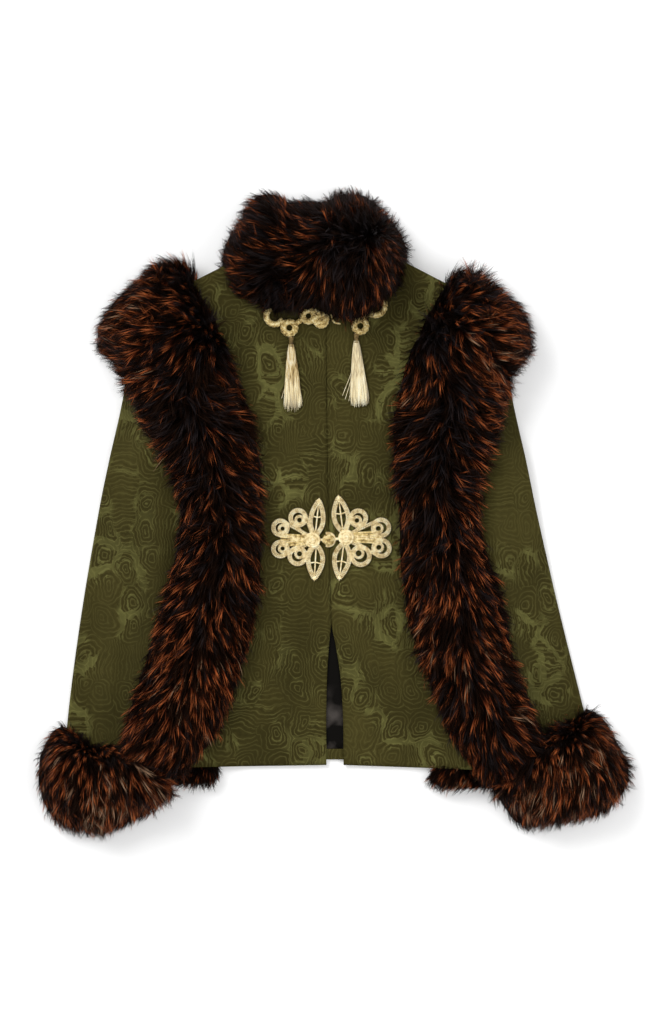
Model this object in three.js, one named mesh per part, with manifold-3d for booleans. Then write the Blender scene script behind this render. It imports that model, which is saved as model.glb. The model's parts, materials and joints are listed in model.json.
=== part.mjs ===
// A short brocade jacket with fur-edged cape sleeves and a fur collar, fastened and laid flat on its back.
// Millimetres. X runs across the jacket, Y from the hem to the collar, Z up from the surface it lies on.
// "left" and "right" are as seen from above with the collar at the top. The origin is on the underside
// of the back, near the middle of the jacket.
import * as THREE from "three";
import { mergeVertices } from "three/addons/utils/BufferGeometryUtils.js";
import Module from "manifold-3d";

const wasm = await Module();
wasm.setup();

// ---------------------------------------------------------------- driving sizes
const CLOTH = 2.0; // brocade with its interlining
const SLEEVE_CLOTH = 1.8;
const SEAM = 0.3; // what two sewn pieces stand apart
const AIR = 1.7; // the slack between the back and the fronts, which the hem facing fills
const SLEEVE_CLEAR = 1; // between a sleeve and the body that lies in it
const SLEEVE_AIR = 2.4; // the slack inside an empty sleeve
const FALL = { low: 0.25, high: 0.42 }; // how steeply a sleeve falls away from the body's side
const FOLD_ROOM = 4;
const FOLD_STEPS = 3;
const RISE = { side: 16, sideFrom: 0.47, neckFrom: 145, neckSlope: 0.154 };
const TAKE_UP = 0.6; // the share of the half width beyond which the slack runs out
// The rows and columns on which the flat panels are laid out.
const ROWS = [-240, -195, -150, -105, -60, -20, 20, 55, 95, 120, 145, 167, 190, 213];
const HALF_COLUMNS = [1, 0.8, 0.6, 0.47, 0.34, 0.17];
const COLUMNS = [...HALF_COLUMNS.map((t) => -t), 0, ...HALF_COLUMNS.toReversed()];
const SIDES = [
  { name: "left", sign: -1 },
  { name: "right", sign: 1 },
];

const BODY = {
  frontHem: -280,
  backHem: -274,
  neckShare: 0.47, // of the half width of the shoulders
  neckPoint: 278,
  frontNeck: 236,
  backNeckDrop: 8,
  shoulderEnd: 231,
};
// Half the width of the body about its own middle line, from the hem to the shoulder.
const BODY_HALF = [
  { y: -290, half: 211 },
  { y: -200, half: 199 },
  { y: -90, half: 184 },
  { y: -20, half: 184 },
  { y: 55, half: 196 },
  { y: 95, half: 174 },
  { y: 145, half: 160 },
  { y: 190, half: 161 },
  { y: 231, half: 178 },
];
// The closing edge of the left front, and how wide the slit below the fastening lies open.
const FRONT_EDGE = [
  { y: -290, x: -7.2, open: 18.6 },
  { y: -225, x: -7.4, open: 18 },
  { y: -180, x: -6.4, open: 14 },
  { y: -146, x: -4.2, open: 6.4 },
  { y: -122, x: -2.2, open: 0 },
  { y: 12, x: -5.6, open: 0 },
  { y: 236, x: -8.2, open: 0 },
];
// Each cape sleeve: its outer fold, the front edge that lies over the body and the back edge under it.
const SLEEVE = {
  left: [
    { y: -264, fold: -297, front: -190, back: -162 },
    { y: -197, fold: -290, front: -165, back: -150 },
    { y: -104, fold: -277, front: -138, back: -134 },
    { y: 1, fold: -259, front: -122, back: -124 },
    { y: 54, fold: -248, front: -128, back: -130 },
    { y: 122, fold: -233, front: -158, back: -158 },
    { y: 180, fold: -224, front: -160, back: -160 },
    { y: 226, fold: -206, front: -158, back: -158 },
  ],
  right: [
    { y: -258, fold: 287, front: 184, back: 152 },
    { y: -197, fold: 272, front: 160, back: 142 },
    { y: -104, fold: 249, front: 136, back: 128 },
    { y: 1, fold: 225, front: 113, back: 114 },
    { y: 54, fold: 214, front: 117, back: 119 },
    { y: 122, fold: 199, front: 131, back: 131 },
    { y: 180, fold: 190, front: 133, back: 133 },
    { y: 224, fold: 175, front: 129, back: 129 },
  ],
};
// The fur band on each front edge, from the shoulder to the cuff: its middle, half width and pile height.
const BAND = {
  left: [
    { y: 258, x: -172, half: 18, pile: 22 },
    { y: 240, x: -171, half: 32, pile: 38 },
    { y: 216, x: -166, half: 39, pile: 44 },
    { y: 177, x: -158, half: 49, pile: 46 },
    { y: 139, x: -160, half: 62, pile: 46 },
    { y: 106, x: -153, half: 68, pile: 45 },
    { y: 73, x: -140, half: 61, pile: 44 },
    { y: 34, x: -126, half: 51, pile: 42 },
    { y: -10, x: -124, half: 50, pile: 41 },
    { y: -54, x: -127, half: 53, pile: 42 },
    { y: -98, x: -135, half: 57, pile: 43 },
    { y: -142, x: -146, half: 59, pile: 43 },
    { y: -186, x: -158, half: 59, pile: 43 },
    { y: -230, x: -174, half: 57, pile: 44 },
    { y: -263, x: -187, half: 54, pile: 42 },
    { y: -292, x: -200, half: 42, pile: 34 },
  ],
  right: [
    { y: 258, x: 143, half: 18, pile: 22 },
    { y: 240, x: 142, half: 30, pile: 38 },
    { y: 216, x: 138, half: 39, pile: 44 },
    { y: 177, x: 130, half: 50, pile: 46 },
    { y: 139, x: 131, half: 62, pile: 46 },
    { y: 106, x: 128, half: 64, pile: 45 },
    { y: 73, x: 121, half: 60, pile: 44 },
    { y: 34, x: 115, half: 52, pile: 42 },
    { y: -10, x: 117, half: 48, pile: 41 },
    { y: -54, x: 123, half: 54, pile: 42 },
    { y: -98, x: 134, half: 59, pile: 43 },
    { y: -142, x: 141, half: 58, pile: 43 },
    { y: -186, x: 155, half: 55, pile: 43 },
    { y: -230, x: 173, half: 56, pile: 44 },
    { y: -263, x: 186, half: 55, pile: 42 },
    { y: -296, x: 204, half: 46, pile: 34 },
  ],
};
// The fur band on the back edge lies pressed under the body and shows only below the hem.
const UNDER = {
  half: 38,
  innerShare: 0.52,
  top: 128,
  end: { left: -304, right: -307 },
  freePile: 20,
};
// The puffs on the shoulders and the cuffs: the outline of the fur, its crest and where the crest is.
const PUFF = {
  left: {
    crest: { x: -204, y: 210, z: 80 },
    rim: 16,
    outline: [
      { x: -177, y: 280 },
      { x: -206, y: 266 },
      { x: -239, y: 238 },
      { x: -259, y: 210 },
      { x: -264, y: 185 },
      { x: -256, y: 166 },
      { x: -236, y: 142 },
      { x: -206, y: 132 },
      { x: -176, y: 146 },
      { x: -156, y: 184 },
      { x: -146, y: 226 },
      { x: -153, y: 264 },
    ],
  },
  right: {
    crest: { x: 168, y: 205, z: 78 },
    rim: 16,
    outline: [
      { x: 145, y: 266 },
      { x: 172, y: 257 },
      { x: 198, y: 240 },
      { x: 215, y: 216 },
      { x: 222, y: 187 },
      { x: 215, y: 162 },
      { x: 197, y: 140 },
      { x: 174, y: 131 },
      { x: 146, y: 146 },
      { x: 127, y: 184 },
      { x: 118, y: 222 },
      { x: 126, y: 256 },
    ],
  },
};
const CUFF = {
  left: {
    crest: { x: -248, y: -298, z: 72 },
    rim: 16,
    outline: [
      { x: -299, y: -230 },
      { x: -321, y: -252 },
      { x: -328, y: -285 },
      { x: -315, y: -329 },
      { x: -284, y: -354 },
      { x: -250, y: -358 },
      { x: -216, y: -343 },
      { x: -187, y: -316 },
      { x: -160, y: -290 },
      { x: -146, y: -262 },
      { x: -170, y: -240 },
      { x: -210, y: -250 },
      { x: -246, y: -256 },
      { x: -272, y: -246 },
    ],
  },
  right: {
    crest: { x: 250, y: -290, z: 72 },
    rim: 16,
    outline: [
      { x: 278, y: -212 },
      { x: 303, y: -228 },
      { x: 320, y: -258 },
      { x: 328, y: -291 },
      { x: 313, y: -320 },
      { x: 279, y: -340 },
      { x: 240, y: -348 },
      { x: 206, y: -344 },
      { x: 178, y: -318 },
      { x: 158, y: -288 },
      { x: 146, y: -262 },
      { x: 168, y: -236 },
      { x: 212, y: -248 },
      { x: 248, y: -234 },
    ],
  },
};
// The fur collar is full at its two front ends, with lower fur between them over the middle of the neck.
const COLLAR = {
  lobes: [
    { x: -73, y: 280, halfX: 50, halfY: 76, z: 92 },
    { x: -28, y: 282, halfX: 46, halfY: 65, z: 76 },
    { x: 22, y: 278, halfX: 65, halfY: 79, z: 96 },
  ],
  rim: 20,
  fullness: 1.9,
  stand: 36,
  standTaper: 5,
  standDeep: 6,
  frogRoom: 5.6,
  frogRoomTop: 241,
};

// The back's lining and the facing of its hem, which the slit shows.
const LINING = { half: 62, top: -80, foot: -262, thick: 1 };
const FACING = { half: 96, thick: 1.2 };

// Flat braids of the frogs.
const CORD = { width: 6.4, height: 3.2 };
const FINE_CORD = { width: 4.2, height: 2.6 };
const LEAF_CORD = { width: 4.8, height: 3.2 };
const VEIN = { width: 1.8, height: 1.6 };

// ---------------------------------------------------------------- small tools
const mix = (a, b, t) => a + (b - a) * t;
const clamp = (t) => Math.min(1, Math.max(0, t));

// A smooth curve through one column of a table, whose rows are sorted by y.
function column(table, name) {
  const rows = [...table].sort((a, b) => a.y - b.y);
  const slope = rows.map((row, i) => {
    const before = rows[Math.max(0, i - 1)];
    const after = rows[Math.min(rows.length - 1, i + 1)];
    return (after[name] - before[name]) / (after.y - before.y);
  });
  return (y) => {
    const at = Math.min(rows[rows.length - 1].y, Math.max(rows[0].y, y));
    let i = 0;
    while (i < rows.length - 2 && at > rows[i + 1].y) i += 1;
    const span = rows[i + 1].y - rows[i].y;
    const t = (at - rows[i].y) / span;
    const rise = rows[i + 1][name] - rows[i][name];
    return (
      rows[i][name] +
      rise * t * t * (3 - 2 * t) +
      span * (slope[i] * t * (1 - t) ** 2 - slope[i + 1] * t * t * (1 - t))
    );
  };
}

function geometryOf(points, faces) {
  const geometry = new THREE.BufferGeometry();
  geometry.setAttribute(
    "position",
    new THREE.Float32BufferAttribute(points, 3),
  );
  geometry.setIndex(faces);
  return geometry;
}

// A closed wall between two facing grids of points, outer(i, row) and inner(i, row).
function wall(columns, rows, outer, inner) {
  const points = [];
  const faces = [];
  for (const side of [outer, inner])
    for (let j = 0; j <= rows; j += 1)
      for (let i = 0; i <= columns; i += 1) points.push(...side(i, j));
  const out = (i, j) => j * (columns + 1) + i;
  const back = (i, j) => out(i, j) + (columns + 1) * (rows + 1);
  const quad = (a, b, c, d) => faces.push(a, b, c, a, c, d);
  // Every face is halved along the same diagonal of the plan, so that layers lie parallel.
  const rising = (i, j) => points[3 * out(i + 1, j)] > points[3 * out(i, j)];
  for (let j = 0; j < rows; j += 1)
    for (let i = 0; i < columns; i += 1) {
      const corners = [
        [i, j],
        [i + 1, j],
        [i + 1, j + 1],
        [i, j + 1],
      ];
      if (!rising(i, j)) corners.unshift(corners.pop());
      quad(...corners.map((corner) => out(...corner)));
      const [a, b, c, d] = corners.map((corner) => back(...corner));
      faces.push(a, c, b, a, d, c);
    }
  for (let i = 0; i < columns; i += 1) {
    quad(out(i, 0), back(i, 0), back(i + 1, 0), out(i + 1, 0));
    quad(out(i, rows), out(i + 1, rows), back(i + 1, rows), back(i, rows));
  }
  for (let j = 0; j < rows; j += 1) {
    const [last, next] = [out(columns, j), out(columns, j + 1)];
    quad(out(0, j), out(0, j + 1), back(0, j + 1), back(0, j));
    quad(last, back(columns, j), back(columns, j + 1), next);
  }
  return solidOf(geometryOf(points, faces));
}

// A slab between two heights, over a grid of places(i, row) that gives [x, y].
function slab(columns, rows, place, top, bottom) {
  const at = (height) => (i, row) => {
    const [x, y] = place(i, row);
    return [x, y, height(x, y)];
  };
  return wall(columns, rows, at(top), at(bottom));
}

// A domed solid: outline(angle share) gives its rim, and it rises to the crest.
function dome(outline, crest, top, sides, rings) {
  const points = [crest.x, crest.y, top(0, 0), crest.x, crest.y, 0];
  const faces = [];
  for (let r = 1; r <= rings; r += 1)
    for (let s = 0; s < sides; s += 1) {
      const rim = outline(s / sides);
      const share = r / rings;
      points.push(
        mix(crest.x, rim[0], share),
        mix(crest.y, rim[1], share),
        top(share, s / sides),
      );
    }
  for (let s = 0; s < sides; s += 1) {
    const rim = outline(s / sides);
    points.push(rim[0], rim[1], 0);
  }
  const at = (r, s) => 2 + (r - 1) * sides + (s % sides);
  for (let s = 0; s < sides; s += 1) {
    faces.push(0, at(1, s), at(1, s + 1));
    for (let r = 1; r <= rings; r += 1)
      faces.push(
        ...[at(r, s), at(r + 1, s), at(r + 1, s + 1)],
        ...[at(r, s), at(r + 1, s + 1), at(r, s + 1)],
      );
    faces.push(1, at(rings + 1, s + 1), at(rings + 1, s));
  }
  return geometryOf(points, faces);
}

function volumeOf(geometry) {
  const place = geometry.getAttribute("position");
  const corner = (i) =>
    new THREE.Vector3().fromBufferAttribute(place, geometry.index.array[i]);
  let volume = 0;
  for (let i = 0; i < geometry.index.count; i += 3)
    volume += corner(i).dot(corner(i + 1).cross(corner(i + 2))) / 6;
  return volume;
}

// A three.js geometry as a manifold solid, with its faces turned outwards.
function solidOf(geometry) {
  const bare = geometry.clone();
  bare.deleteAttribute("normal");
  bare.deleteAttribute("uv");
  const merged = mergeVertices(bare, 1e-4);
  const triVerts = new Uint32Array(merged.index.array);
  if (volumeOf(merged) < 0) triVerts.reverse();
  const vertProperties = merged.getAttribute("position").array;
  return new wasm.Manifold(
    new wasm.Mesh({ numProp: 3, vertProperties, triVerts }),
  );
}

function geometryFrom(solid) {
  const { vertProperties, triVerts } = solid.getMesh();
  return geometryOf([...vertProperties], [...triVerts]);
}

// What is left of a solid once the others are cut out of it, without slivers that come loose.
function cut(solid, others) {
  const left = others.reduce((rest, other) => rest.subtract(other), solid);
  return left
    .decompose()
    .reduce((a, b) => (a.volume() > b.volume() ? a : b));
}

const join = (solids) => cut(solids.reduce((all, one) => all.add(one)), []);

// ---------------------------------------------------------------- how the layers lie
const middle = (y) => 2 - 0.038 * (y + 280);
const bodyHalf = column(BODY_HALF, "half");
const closing = column(FRONT_EDGE, "x");
const opening = column(FRONT_EDGE, "open");
const slitOpen = (y) => Math.max(0, opening(y));
const sleeveLine = Object.fromEntries(
  SIDES.map(({ name }) => [
    name,
    {
      fold: column(SLEEVE[name], "fold"),
      front: column(SLEEVE[name], "front"),
      back: column(SLEEVE[name], "back"),
    },
  ]),
);
const bandLine = Object.fromEntries(
  SIDES.map(({ name }) => [
    name,
    {
      x: column(BAND[name], "x"),
      half: column(BAND[name], "half"),
      pile: column(BAND[name], "pile"),
    },
  ]),
);

const sideOf = (x, y) => (x < middle(y) ? SIDES[0] : SIDES[1]);
const bodyEdge = (side, y) => middle(y) + side.sign * bodyHalf(y);
// The share of the half width at which a place lies: 0 in the middle, 1 at the side seam.
const across = (x, y) => Math.abs(x - middle(y)) / bodyHalf(y);

// The back lies flat in the middle. Its sides climb evenly on the sleeves' back edges and their fur,
// and its neck climbs evenly on the collar. Every layer over it is this surface and a thickness.
const backUnder = (x, y) =>
  RISE.side * Math.max(0, (Math.min(1.1, across(x, y)) - RISE.sideFrom) / (1 - RISE.sideFrom)) +
  RISE.neckSlope * Math.max(0, y - RISE.neckFrom);
const backTop = (x, y) => backUnder(x, y) + CLOTH;

const slack = (x, y) => SEAM + AIR * clamp((1 - across(x, y)) / (1 - TAKE_UP));
const frontUnder = (x, y) => backTop(x, y) + slack(x, y);
const frontTop = (x, y) => frontUnder(x, y) + CLOTH;

// How far outside the body's side a place on a sleeve is.
const outside = (x, y) => {
  const side = sideOf(x, y);
  return Math.max(0, side.sign * (x - bodyEdge(side, y)));
};
const sleeveLow = (x, y) =>
  Math.max(0, backUnder(x, y) - SLEEVE_CLOTH - SLEEVE_CLEAR - FALL.low * outside(x, y));
const sleeveHigh = (x, y) =>
  Math.max(
    sleeveLow(x, y) + SLEEVE_CLOTH + SLEEVE_AIR,
    frontTop(x, y) + SLEEVE_CLEAR - FALL.high * outside(x, y),
  );

// ---------------------------------------------------------------- the body
// Where a column of a panel ends at its top: the neckline, then the shoulder seam.
function panelTop(share, neckline) {
  const neck = BODY.neckShare;
  if (share > neck)
    return mix(BODY.neckPoint, BODY.shoulderEnd, (share - neck) / (1 - neck));
  return neckline(share / neck);
}
const backNeck = (t) => BODY.neckPoint - BODY.backNeckDrop * (1 - t * t);
const frontNeck = (t) =>
  BODY.neckPoint - (BODY.neckPoint - BODY.frontNeck) * Math.sqrt(Math.max(0, 1 - t * t));

// The panels share their rows and columns, so that their faces lie parallel.
const rowY = (row, foot, top) =>
  row === 0 ? foot : row === ROWS.length + 1 ? top : ROWS[row - 1];
const ROW_COUNT = ROWS.length + 1;

function backPlace(i, row) {
  const share = COLUMNS[i];
  const y = rowY(row, BODY.backHem, panelTop(Math.abs(share), backNeck));
  return [middle(y) + bodyHalf(y) * share, y];
}

// A front reaches from the side seam to its closing edge, and is sewn to the back at the shoulder.
const FRONT_COLUMNS = HALF_COLUMNS.length;
function frontPanel(side) {
  const place = (i, row) => {
    const share = i === FRONT_COLUMNS ? 0 : HALF_COLUMNS[i];
    const foot = BODY.frontHem + (side.sign < 0 ? -3 : -7) * share;
    const y = rowY(row, foot, panelTop(share, frontNeck));
    const edge = closing(y) + (side.sign < 0 ? 0 : SEAM + slitOpen(y));
    return [share === 0 ? edge : middle(y) + side.sign * bodyHalf(y) * share, y];
  };
  const at = (height) => (i, row) => {
    const [x, y] = place(i, row);
    const sewn = row === ROW_COUNT && HALF_COLUMNS[i] > BODY.neckShare;
    return [x, y, height(x, y) - (sewn ? slack(x, y) - SEAM : 0)];
  };
  return wall(FRONT_COLUMNS, ROW_COUNT, at(frontTop), at(frontUnder));
}

// ---------------------------------------------------------------- sleeves
// The places of a sleeve's columns in one layer, from its inner edge to where the fold begins.
function sleeveColumns(side, y, inner) {
  const turn = sleeveLine[side.name].fold(y) - side.sign * FOLD_ROOM;
  const edge = bodyEdge(side, y);
  return [inner, edge, mix(edge, turn, 0.5), turn];
}
const sleeveRowY = (side, row) => {
  const rows = SLEEVE[side.name];
  return rowY(row, rows[0].y, rows[rows.length - 1].y);
};

// A cape sleeve is one wall that runs from its back edge round the outer fold to its front edge.
function sleeveWall(side) {
  const line = sleeveLine[side.name];
  const point = (deep) => (i, row) => {
    const y = sleeveRowY(side, row);
    const low = (x) => sleeveLow(x, y) + deep;
    const high = (x) => sleeveHigh(x, y) + SLEEVE_CLOTH - deep;
    const under = sleeveColumns(side, y, line.back(y));
    const over = sleeveColumns(side, y, line.front(y));
    if (i < 4) return [under[i], y, low(under[i])];
    if (i > 3 + FOLD_STEPS) {
      const x = over[7 + FOLD_STEPS - i];
      return [x, y, high(x)];
    }
    const angle = (Math.PI * (i - 3)) / (FOLD_STEPS + 1);
    const turn = under[3];
    const reach = (high(turn) - low(turn)) / 2;
    return [
      turn + side.sign * Math.min(reach, FOLD_ROOM - deep) * Math.sin(angle),
      y,
      low(turn) + reach * (1 - Math.cos(angle)),
    ];
  };
  return wall(7 + FOLD_STEPS, ROW_COUNT, point(0), point(SLEEVE_CLOTH));
}

// The space a sleeve takes: one layer of it down to the floor, or both layers and the slack in them.
function sleeveRoom(side, { inner, bottom }) {
  const rowEnd = (row) => (row === 0 ? -SEAM : row === ROW_COUNT ? SEAM : 0);
  const place = (i, row) => {
    const y = sleeveRowY(side, row) + rowEnd(row);
    const columns = sleeveColumns(side, y, inner(y));
    const fold = sleeveLine[side.name].fold(y) + side.sign * (SEAM + 0.2);
    const edge = inner(y) - side.sign * SEAM;
    return [[edge, ...columns.slice(1), fold][i], y];
  };
  const top = (x, y) => sleeveHigh(x, y) + SLEEVE_CLOTH + SEAM;
  return slab(4, ROW_COUNT, place, top, bottom);
}
const sleeveTopRoom = (side) =>
  sleeveRoom(side, {
    inner: sleeveLine[side.name].front,
    bottom: () => -5,
  });
const sleeveWholeRoom = (side) =>
  sleeveRoom(side, {
    inner: (y) =>
      side.sign *
      Math.min(
        side.sign * sleeveLine[side.name].front(y),
        side.sign * sleeveLine[side.name].back(y),
      ),
    bottom: (x, y) => sleeveLow(x, y) - SEAM,
  });

// The space the closed body takes, from under the back to over the fronts, or from the floor.
function bodyRoom(fromFloor) {
  const grow = SEAM + 0.1;
  const place = (i, row) => {
    const share = COLUMNS[i];
    const top = panelTop(Math.abs(share), backNeck) + grow;
    const y = rowY(row, BODY.frontHem - 8, top);
    const out = Math.abs(share) === 1 ? Math.sign(share) * grow : 0;
    return [middle(y) + bodyHalf(y) * share + out, y];
  };
  const top = (x, y) => frontTop(x, y) + SEAM;
  const bottom = (x, y) => {
    const under = backUnder(x, y) - SEAM;
    return fromFloor || under < 0.01 ? -5 : under;
  };
  return slab(COLUMNS.length - 1, ROW_COUNT, place, top, bottom);
}

// ---------------------------------------------------------------- fur
// A band of fur: a rounded mound along its middle line, before what it lies on is cut away.
function bandSolid(side, grow) {
  const line = bandLine[side.name];
  const rows = BAND[side.name];
  const [columns, steps] = [8, 13];
  const place = (i, row) => {
    const y = mix(rows[rows.length - 1].y - grow, rows[0].y + grow, row / steps);
    const reach = Math.sin((i / columns - 0.5) * Math.PI);
    return [line.x(y) + (line.half(y) + grow) * reach, y];
  };
  const rise = (x, y) => {
    const away = (x - line.x(y)) / (line.half(y) + grow);
    const round = Math.sqrt(Math.max(0, 1 - away * away));
    return frontTop(x, y) + 8 + line.pile(y) * round + grow;
  };
  return slab(columns, steps, place, rise, (x, y) => Math.max(3, sleeveLow(x, y)) - grow);
}

// The pressed band on the back edge of a sleeve, swelling where it comes out below the hem.
function underBand(side, grow) {
  const line = sleeveLine[side.name];
  const end = UNDER.end[side.name] - grow;
  const swell = [end, end + 10, BODY.frontHem - 8, BODY.backHem + 6];
  const levels = [...swell, ...ROWS.slice(0, 10), UNDER.top + grow];
  const place = (i, row) => {
    const y = levels[row];
    const narrow = row === 0 ? 0.72 : 1;
    const outer = line.back(y) + side.sign * (UNDER.half * narrow + grow);
    const reach = side.sign * (line.back(y) - side.sign * UNDER.half * narrow - middle(y));
    const inner = Math.max(reach, UNDER.innerShare * bodyHalf(y)) - grow;
    return [mix(middle(y) + side.sign * inner, outer, i / 4), y];
  };
  const top = (x, y) =>
    (y < BODY.frontHem - 7 ? UNDER.freePile : Math.max(2, backUnder(x, y) - SEAM)) + grow;
  return slab(4, levels.length - 1, place, top, () => 0);
}

const domeTop = (crest, rim) => (share) =>
  rim + (crest - rim) * Math.sqrt(Math.max(0, 1 - share ** 2.4));

// A puff or cuff from its outline, domed to its crest and flat underneath.
function furDome({ crest, rim, outline }, sides, rings) {
  const curve = new THREE.CatmullRomCurve3(
    outline.map(({ x, y }) => new THREE.Vector3(x, y, 0)),
    true,
  );
  const at = (share) => curve.getPoint(share).toArray();
  return solidOf(dome(at, crest, domeTop(crest.z, rim), sides, rings));
}

function collarLobe({ x, y, halfX, halfY, z }) {
  const power = 2 / COLLAR.fullness;
  const part = (value) => Math.sign(value) * Math.abs(value) ** power;
  const rim = (share) => {
    const angle = share * 2 * Math.PI;
    return [
      x + halfX * part(Math.cos(angle)),
      y + halfY * part(Math.sin(angle)),
    ];
  };
  return solidOf(dome(rim, { x, y }, domeTop(z, COLLAR.rim), 24, 4));
}

// The stand of the collar: one band from the left closing edge, round the back of the neck, to the right.
const neckLow = (y) => RISE.neckSlope * (y - RISE.neckFrom);
function collarStand() {
  const shares = [0, ...HALF_COLUMNS.slice(3).toReversed()];
  const back = shares.toReversed();
  const loop = [
    ...shares.map((share) => ({ share, sign: -1, front: true })),
    ...back.map((share) => ({ share, sign: -1, front: false })),
    ...shares.slice(1).map((share) => ({ share, sign: 1, front: false })),
    ...back.map((share) => ({ share, sign: 1, front: true })),
  ];
  const point = (deep) => (i, row) => {
    const { share, sign, front } = loop[i];
    const foot = panelTop(share, front ? frontNeck : backNeck);
    const y = foot + 2 * SEAM + COLLAR.stand * row;
    const side = share === BODY.neckShare ? deep : 0;
    const half = bodyHalf(foot) * share - COLLAR.standTaper * row * share - side;
    const atEdge = front && share === 0;
    const x = atEdge ? closing(foot) + sign * 0.2 : middle(foot) + sign * half;
    return [x, y, neckLow(y) + (front ? COLLAR.standDeep - deep : deep)];
  };
  return wall(loop.length - 1, 1, point(0), point(CLOTH));
}

// The space of the neck inside the fur: the stand, and a thin way out through the top.
function neckRoom() {
  const box = (from, to, half, low, high) =>
    slab(
      1,
      1,
      (i, row) => {
        const y = row === 0 ? from : to;
        return [middle(y) + half * (2 * i - 1), y];
      },
      (x, y) => neckLow(y) + high,
      (x, y) => neckLow(y) + low,
    );
  const top = BODY.neckPoint + COLLAR.stand + 3 * SEAM;
  const half = BODY.neckShare * bodyHalf(top) + 1;
  return [
    box(BODY.frontNeck, top, half, -SEAM, COLLAR.standDeep + SEAM),
    box(top - 2, 380, half - 16, CLOTH + 0.2, CLOTH + 3),
  ];
}

// Room for the neck frog, which lies under the lower rim of the collar.
function frogRoom() {
  const place = (i, row) => [mix(-100, 75, i), mix(170, COLLAR.frogRoomTop, row)];
  return slab(1, 1, place, (x, y) => frontTop(-10, y) + COLLAR.frogRoom, () => -5);
}

// The hand's way out through a cuff, as thin as the slack inside the sleeve.
function handRoom(side) {
  const line = sleeveLine[side.name];
  const foot = SLEEVE[side.name][0].y;
  const ends = [line.fold(foot) - side.sign * 12, line.front(foot) + side.sign * 14];
  const low = sleeveLow(mix(...ends, 0.5), foot) + SLEEVE_CLOTH;
  const place = (i, row) => [ends[i], row === 0 ? foot - 140 : foot + 2];
  return slab(1, 1, place, () => low + 3, () => low + 0.2);
}

// ---------------------------------------------------------------- frogs
// A flat braid laid on the fronts along a curve of [x, y] points, joined up at its ends if it is closed.
function cord(points, { width, height }, { closed = false, steps = 12 } = {}) {
  const curve = new THREE.CatmullRomCurve3(
    points.map(([x, y]) => new THREE.Vector3(x, y, 0)),
    closed,
  );
  const section = [
    [-width / 2, 0],
    [width / 2, 0],
    [width * 0.3, height],
    [-width * 0.3, height],
  ];
  const sides = section.length;
  const count = closed ? steps : steps + 1;
  const places = [];
  for (let i = 0; i < count; i += 1) {
    const at = curve.getPointAt(i / steps);
    const way = curve.getTangentAt(i / steps);
    for (const [out, up] of section) {
      const [x, y] = [at.x - way.y * out, at.y + way.x * out];
      places.push(x, y, frontTop(x, y) + SEAM + up);
    }
  }
  const faces = [];
  const at = (i, s) => (i % count) * sides + (s % sides);
  for (let i = 0; i < (closed ? count : count - 1); i += 1)
    for (let s = 0; s < sides; s += 1) {
      faces.push(at(i, s), at(i + 1, s), at(i + 1, s + 1));
      faces.push(at(i, s), at(i + 1, s + 1), at(i, s + 1));
    }
  if (!closed)
    for (let s = 1; s < sides - 1; s += 1) {
      faces.push(at(0, 0), at(0, s), at(0, s + 1));
      faces.push(at(count - 1, 0), at(count - 1, s + 1), at(count - 1, s));
    }
  return solidOf(geometryOf(places, faces));
}

function ring(x, y, radius, size, steps = 14) {
  const corners = [0, 1, 2, 3, 4, 5, 6, 7].map((i) => (i * Math.PI) / 4);
  const points = corners.map((angle) => [
    x + radius * Math.cos(angle),
    y + radius * Math.sin(angle),
  ]);
  return cord(points, size, { closed: true, steps });
}

// A round double loop: a wide ring with a small one inside, against the side that faces (toX, toY).
function doubleLoop({ x, y, radius }, toX, toY) {
  const outer = radius - CORD.width / 2;
  const inner = outer * 0.42;
  const way = Math.atan2(toY - y, toX - x);
  const shift = outer - inner - 0.4;
  return join([
    ring(x, y, outer, CORD),
    ring(x + shift * Math.cos(way), y + shift * Math.sin(way), inner, FINE_CORD, 10),
  ]);
}

// A pointed leaf with its vein, from its foot to its tip.
function leaf({ footX, footY, tipX, tipY, half }) {
  const along = new THREE.Vector2(tipX - footX, tipY - footY);
  const side = new THREE.Vector2(-along.y, along.x).normalize();
  const at = (share, out) => [
    footX + along.x * share + side.x * out,
    footY + along.y * share + side.y * out,
  ];
  const reach = half - LEAF_CORD.width / 2;
  const edge = [0.04, 0.3, 0.6, 0.85].map((share, i) =>
    at(share, reach * [0.4, 0.95, 0.92, 0.5][i]),
  );
  const other = [0.85, 0.6, 0.3, 0.04].map((share, i) =>
    at(share, -reach * [0.5, 0.92, 0.95, 0.4][i]),
  );
  const rim = cord([...edge, at(0.96, 0), ...other], LEAF_CORD, {
    closed: true,
    steps: 18,
  });
  return join([rim, cord([at(0.02, 0), at(0.94, 0)], VEIN, { steps: 2 })]);
}

// A round sewn knot: a low dome.
function knot(x, y, radius, height) {
  const profile = [
    [0, 0],
    [radius, 0],
    [radius, height * 0.4],
    [radius * 0.6, height],
    [0, height],
  ].map(([out, up]) => new THREE.Vector2(out, up));
  const made = new THREE.LatheGeometry(profile, 12);
  made.rotateX(Math.PI / 2);
  made.translate(x, y, frontTop(x, y + radius) + SEAM);
  return solidOf(made);
}

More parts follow.
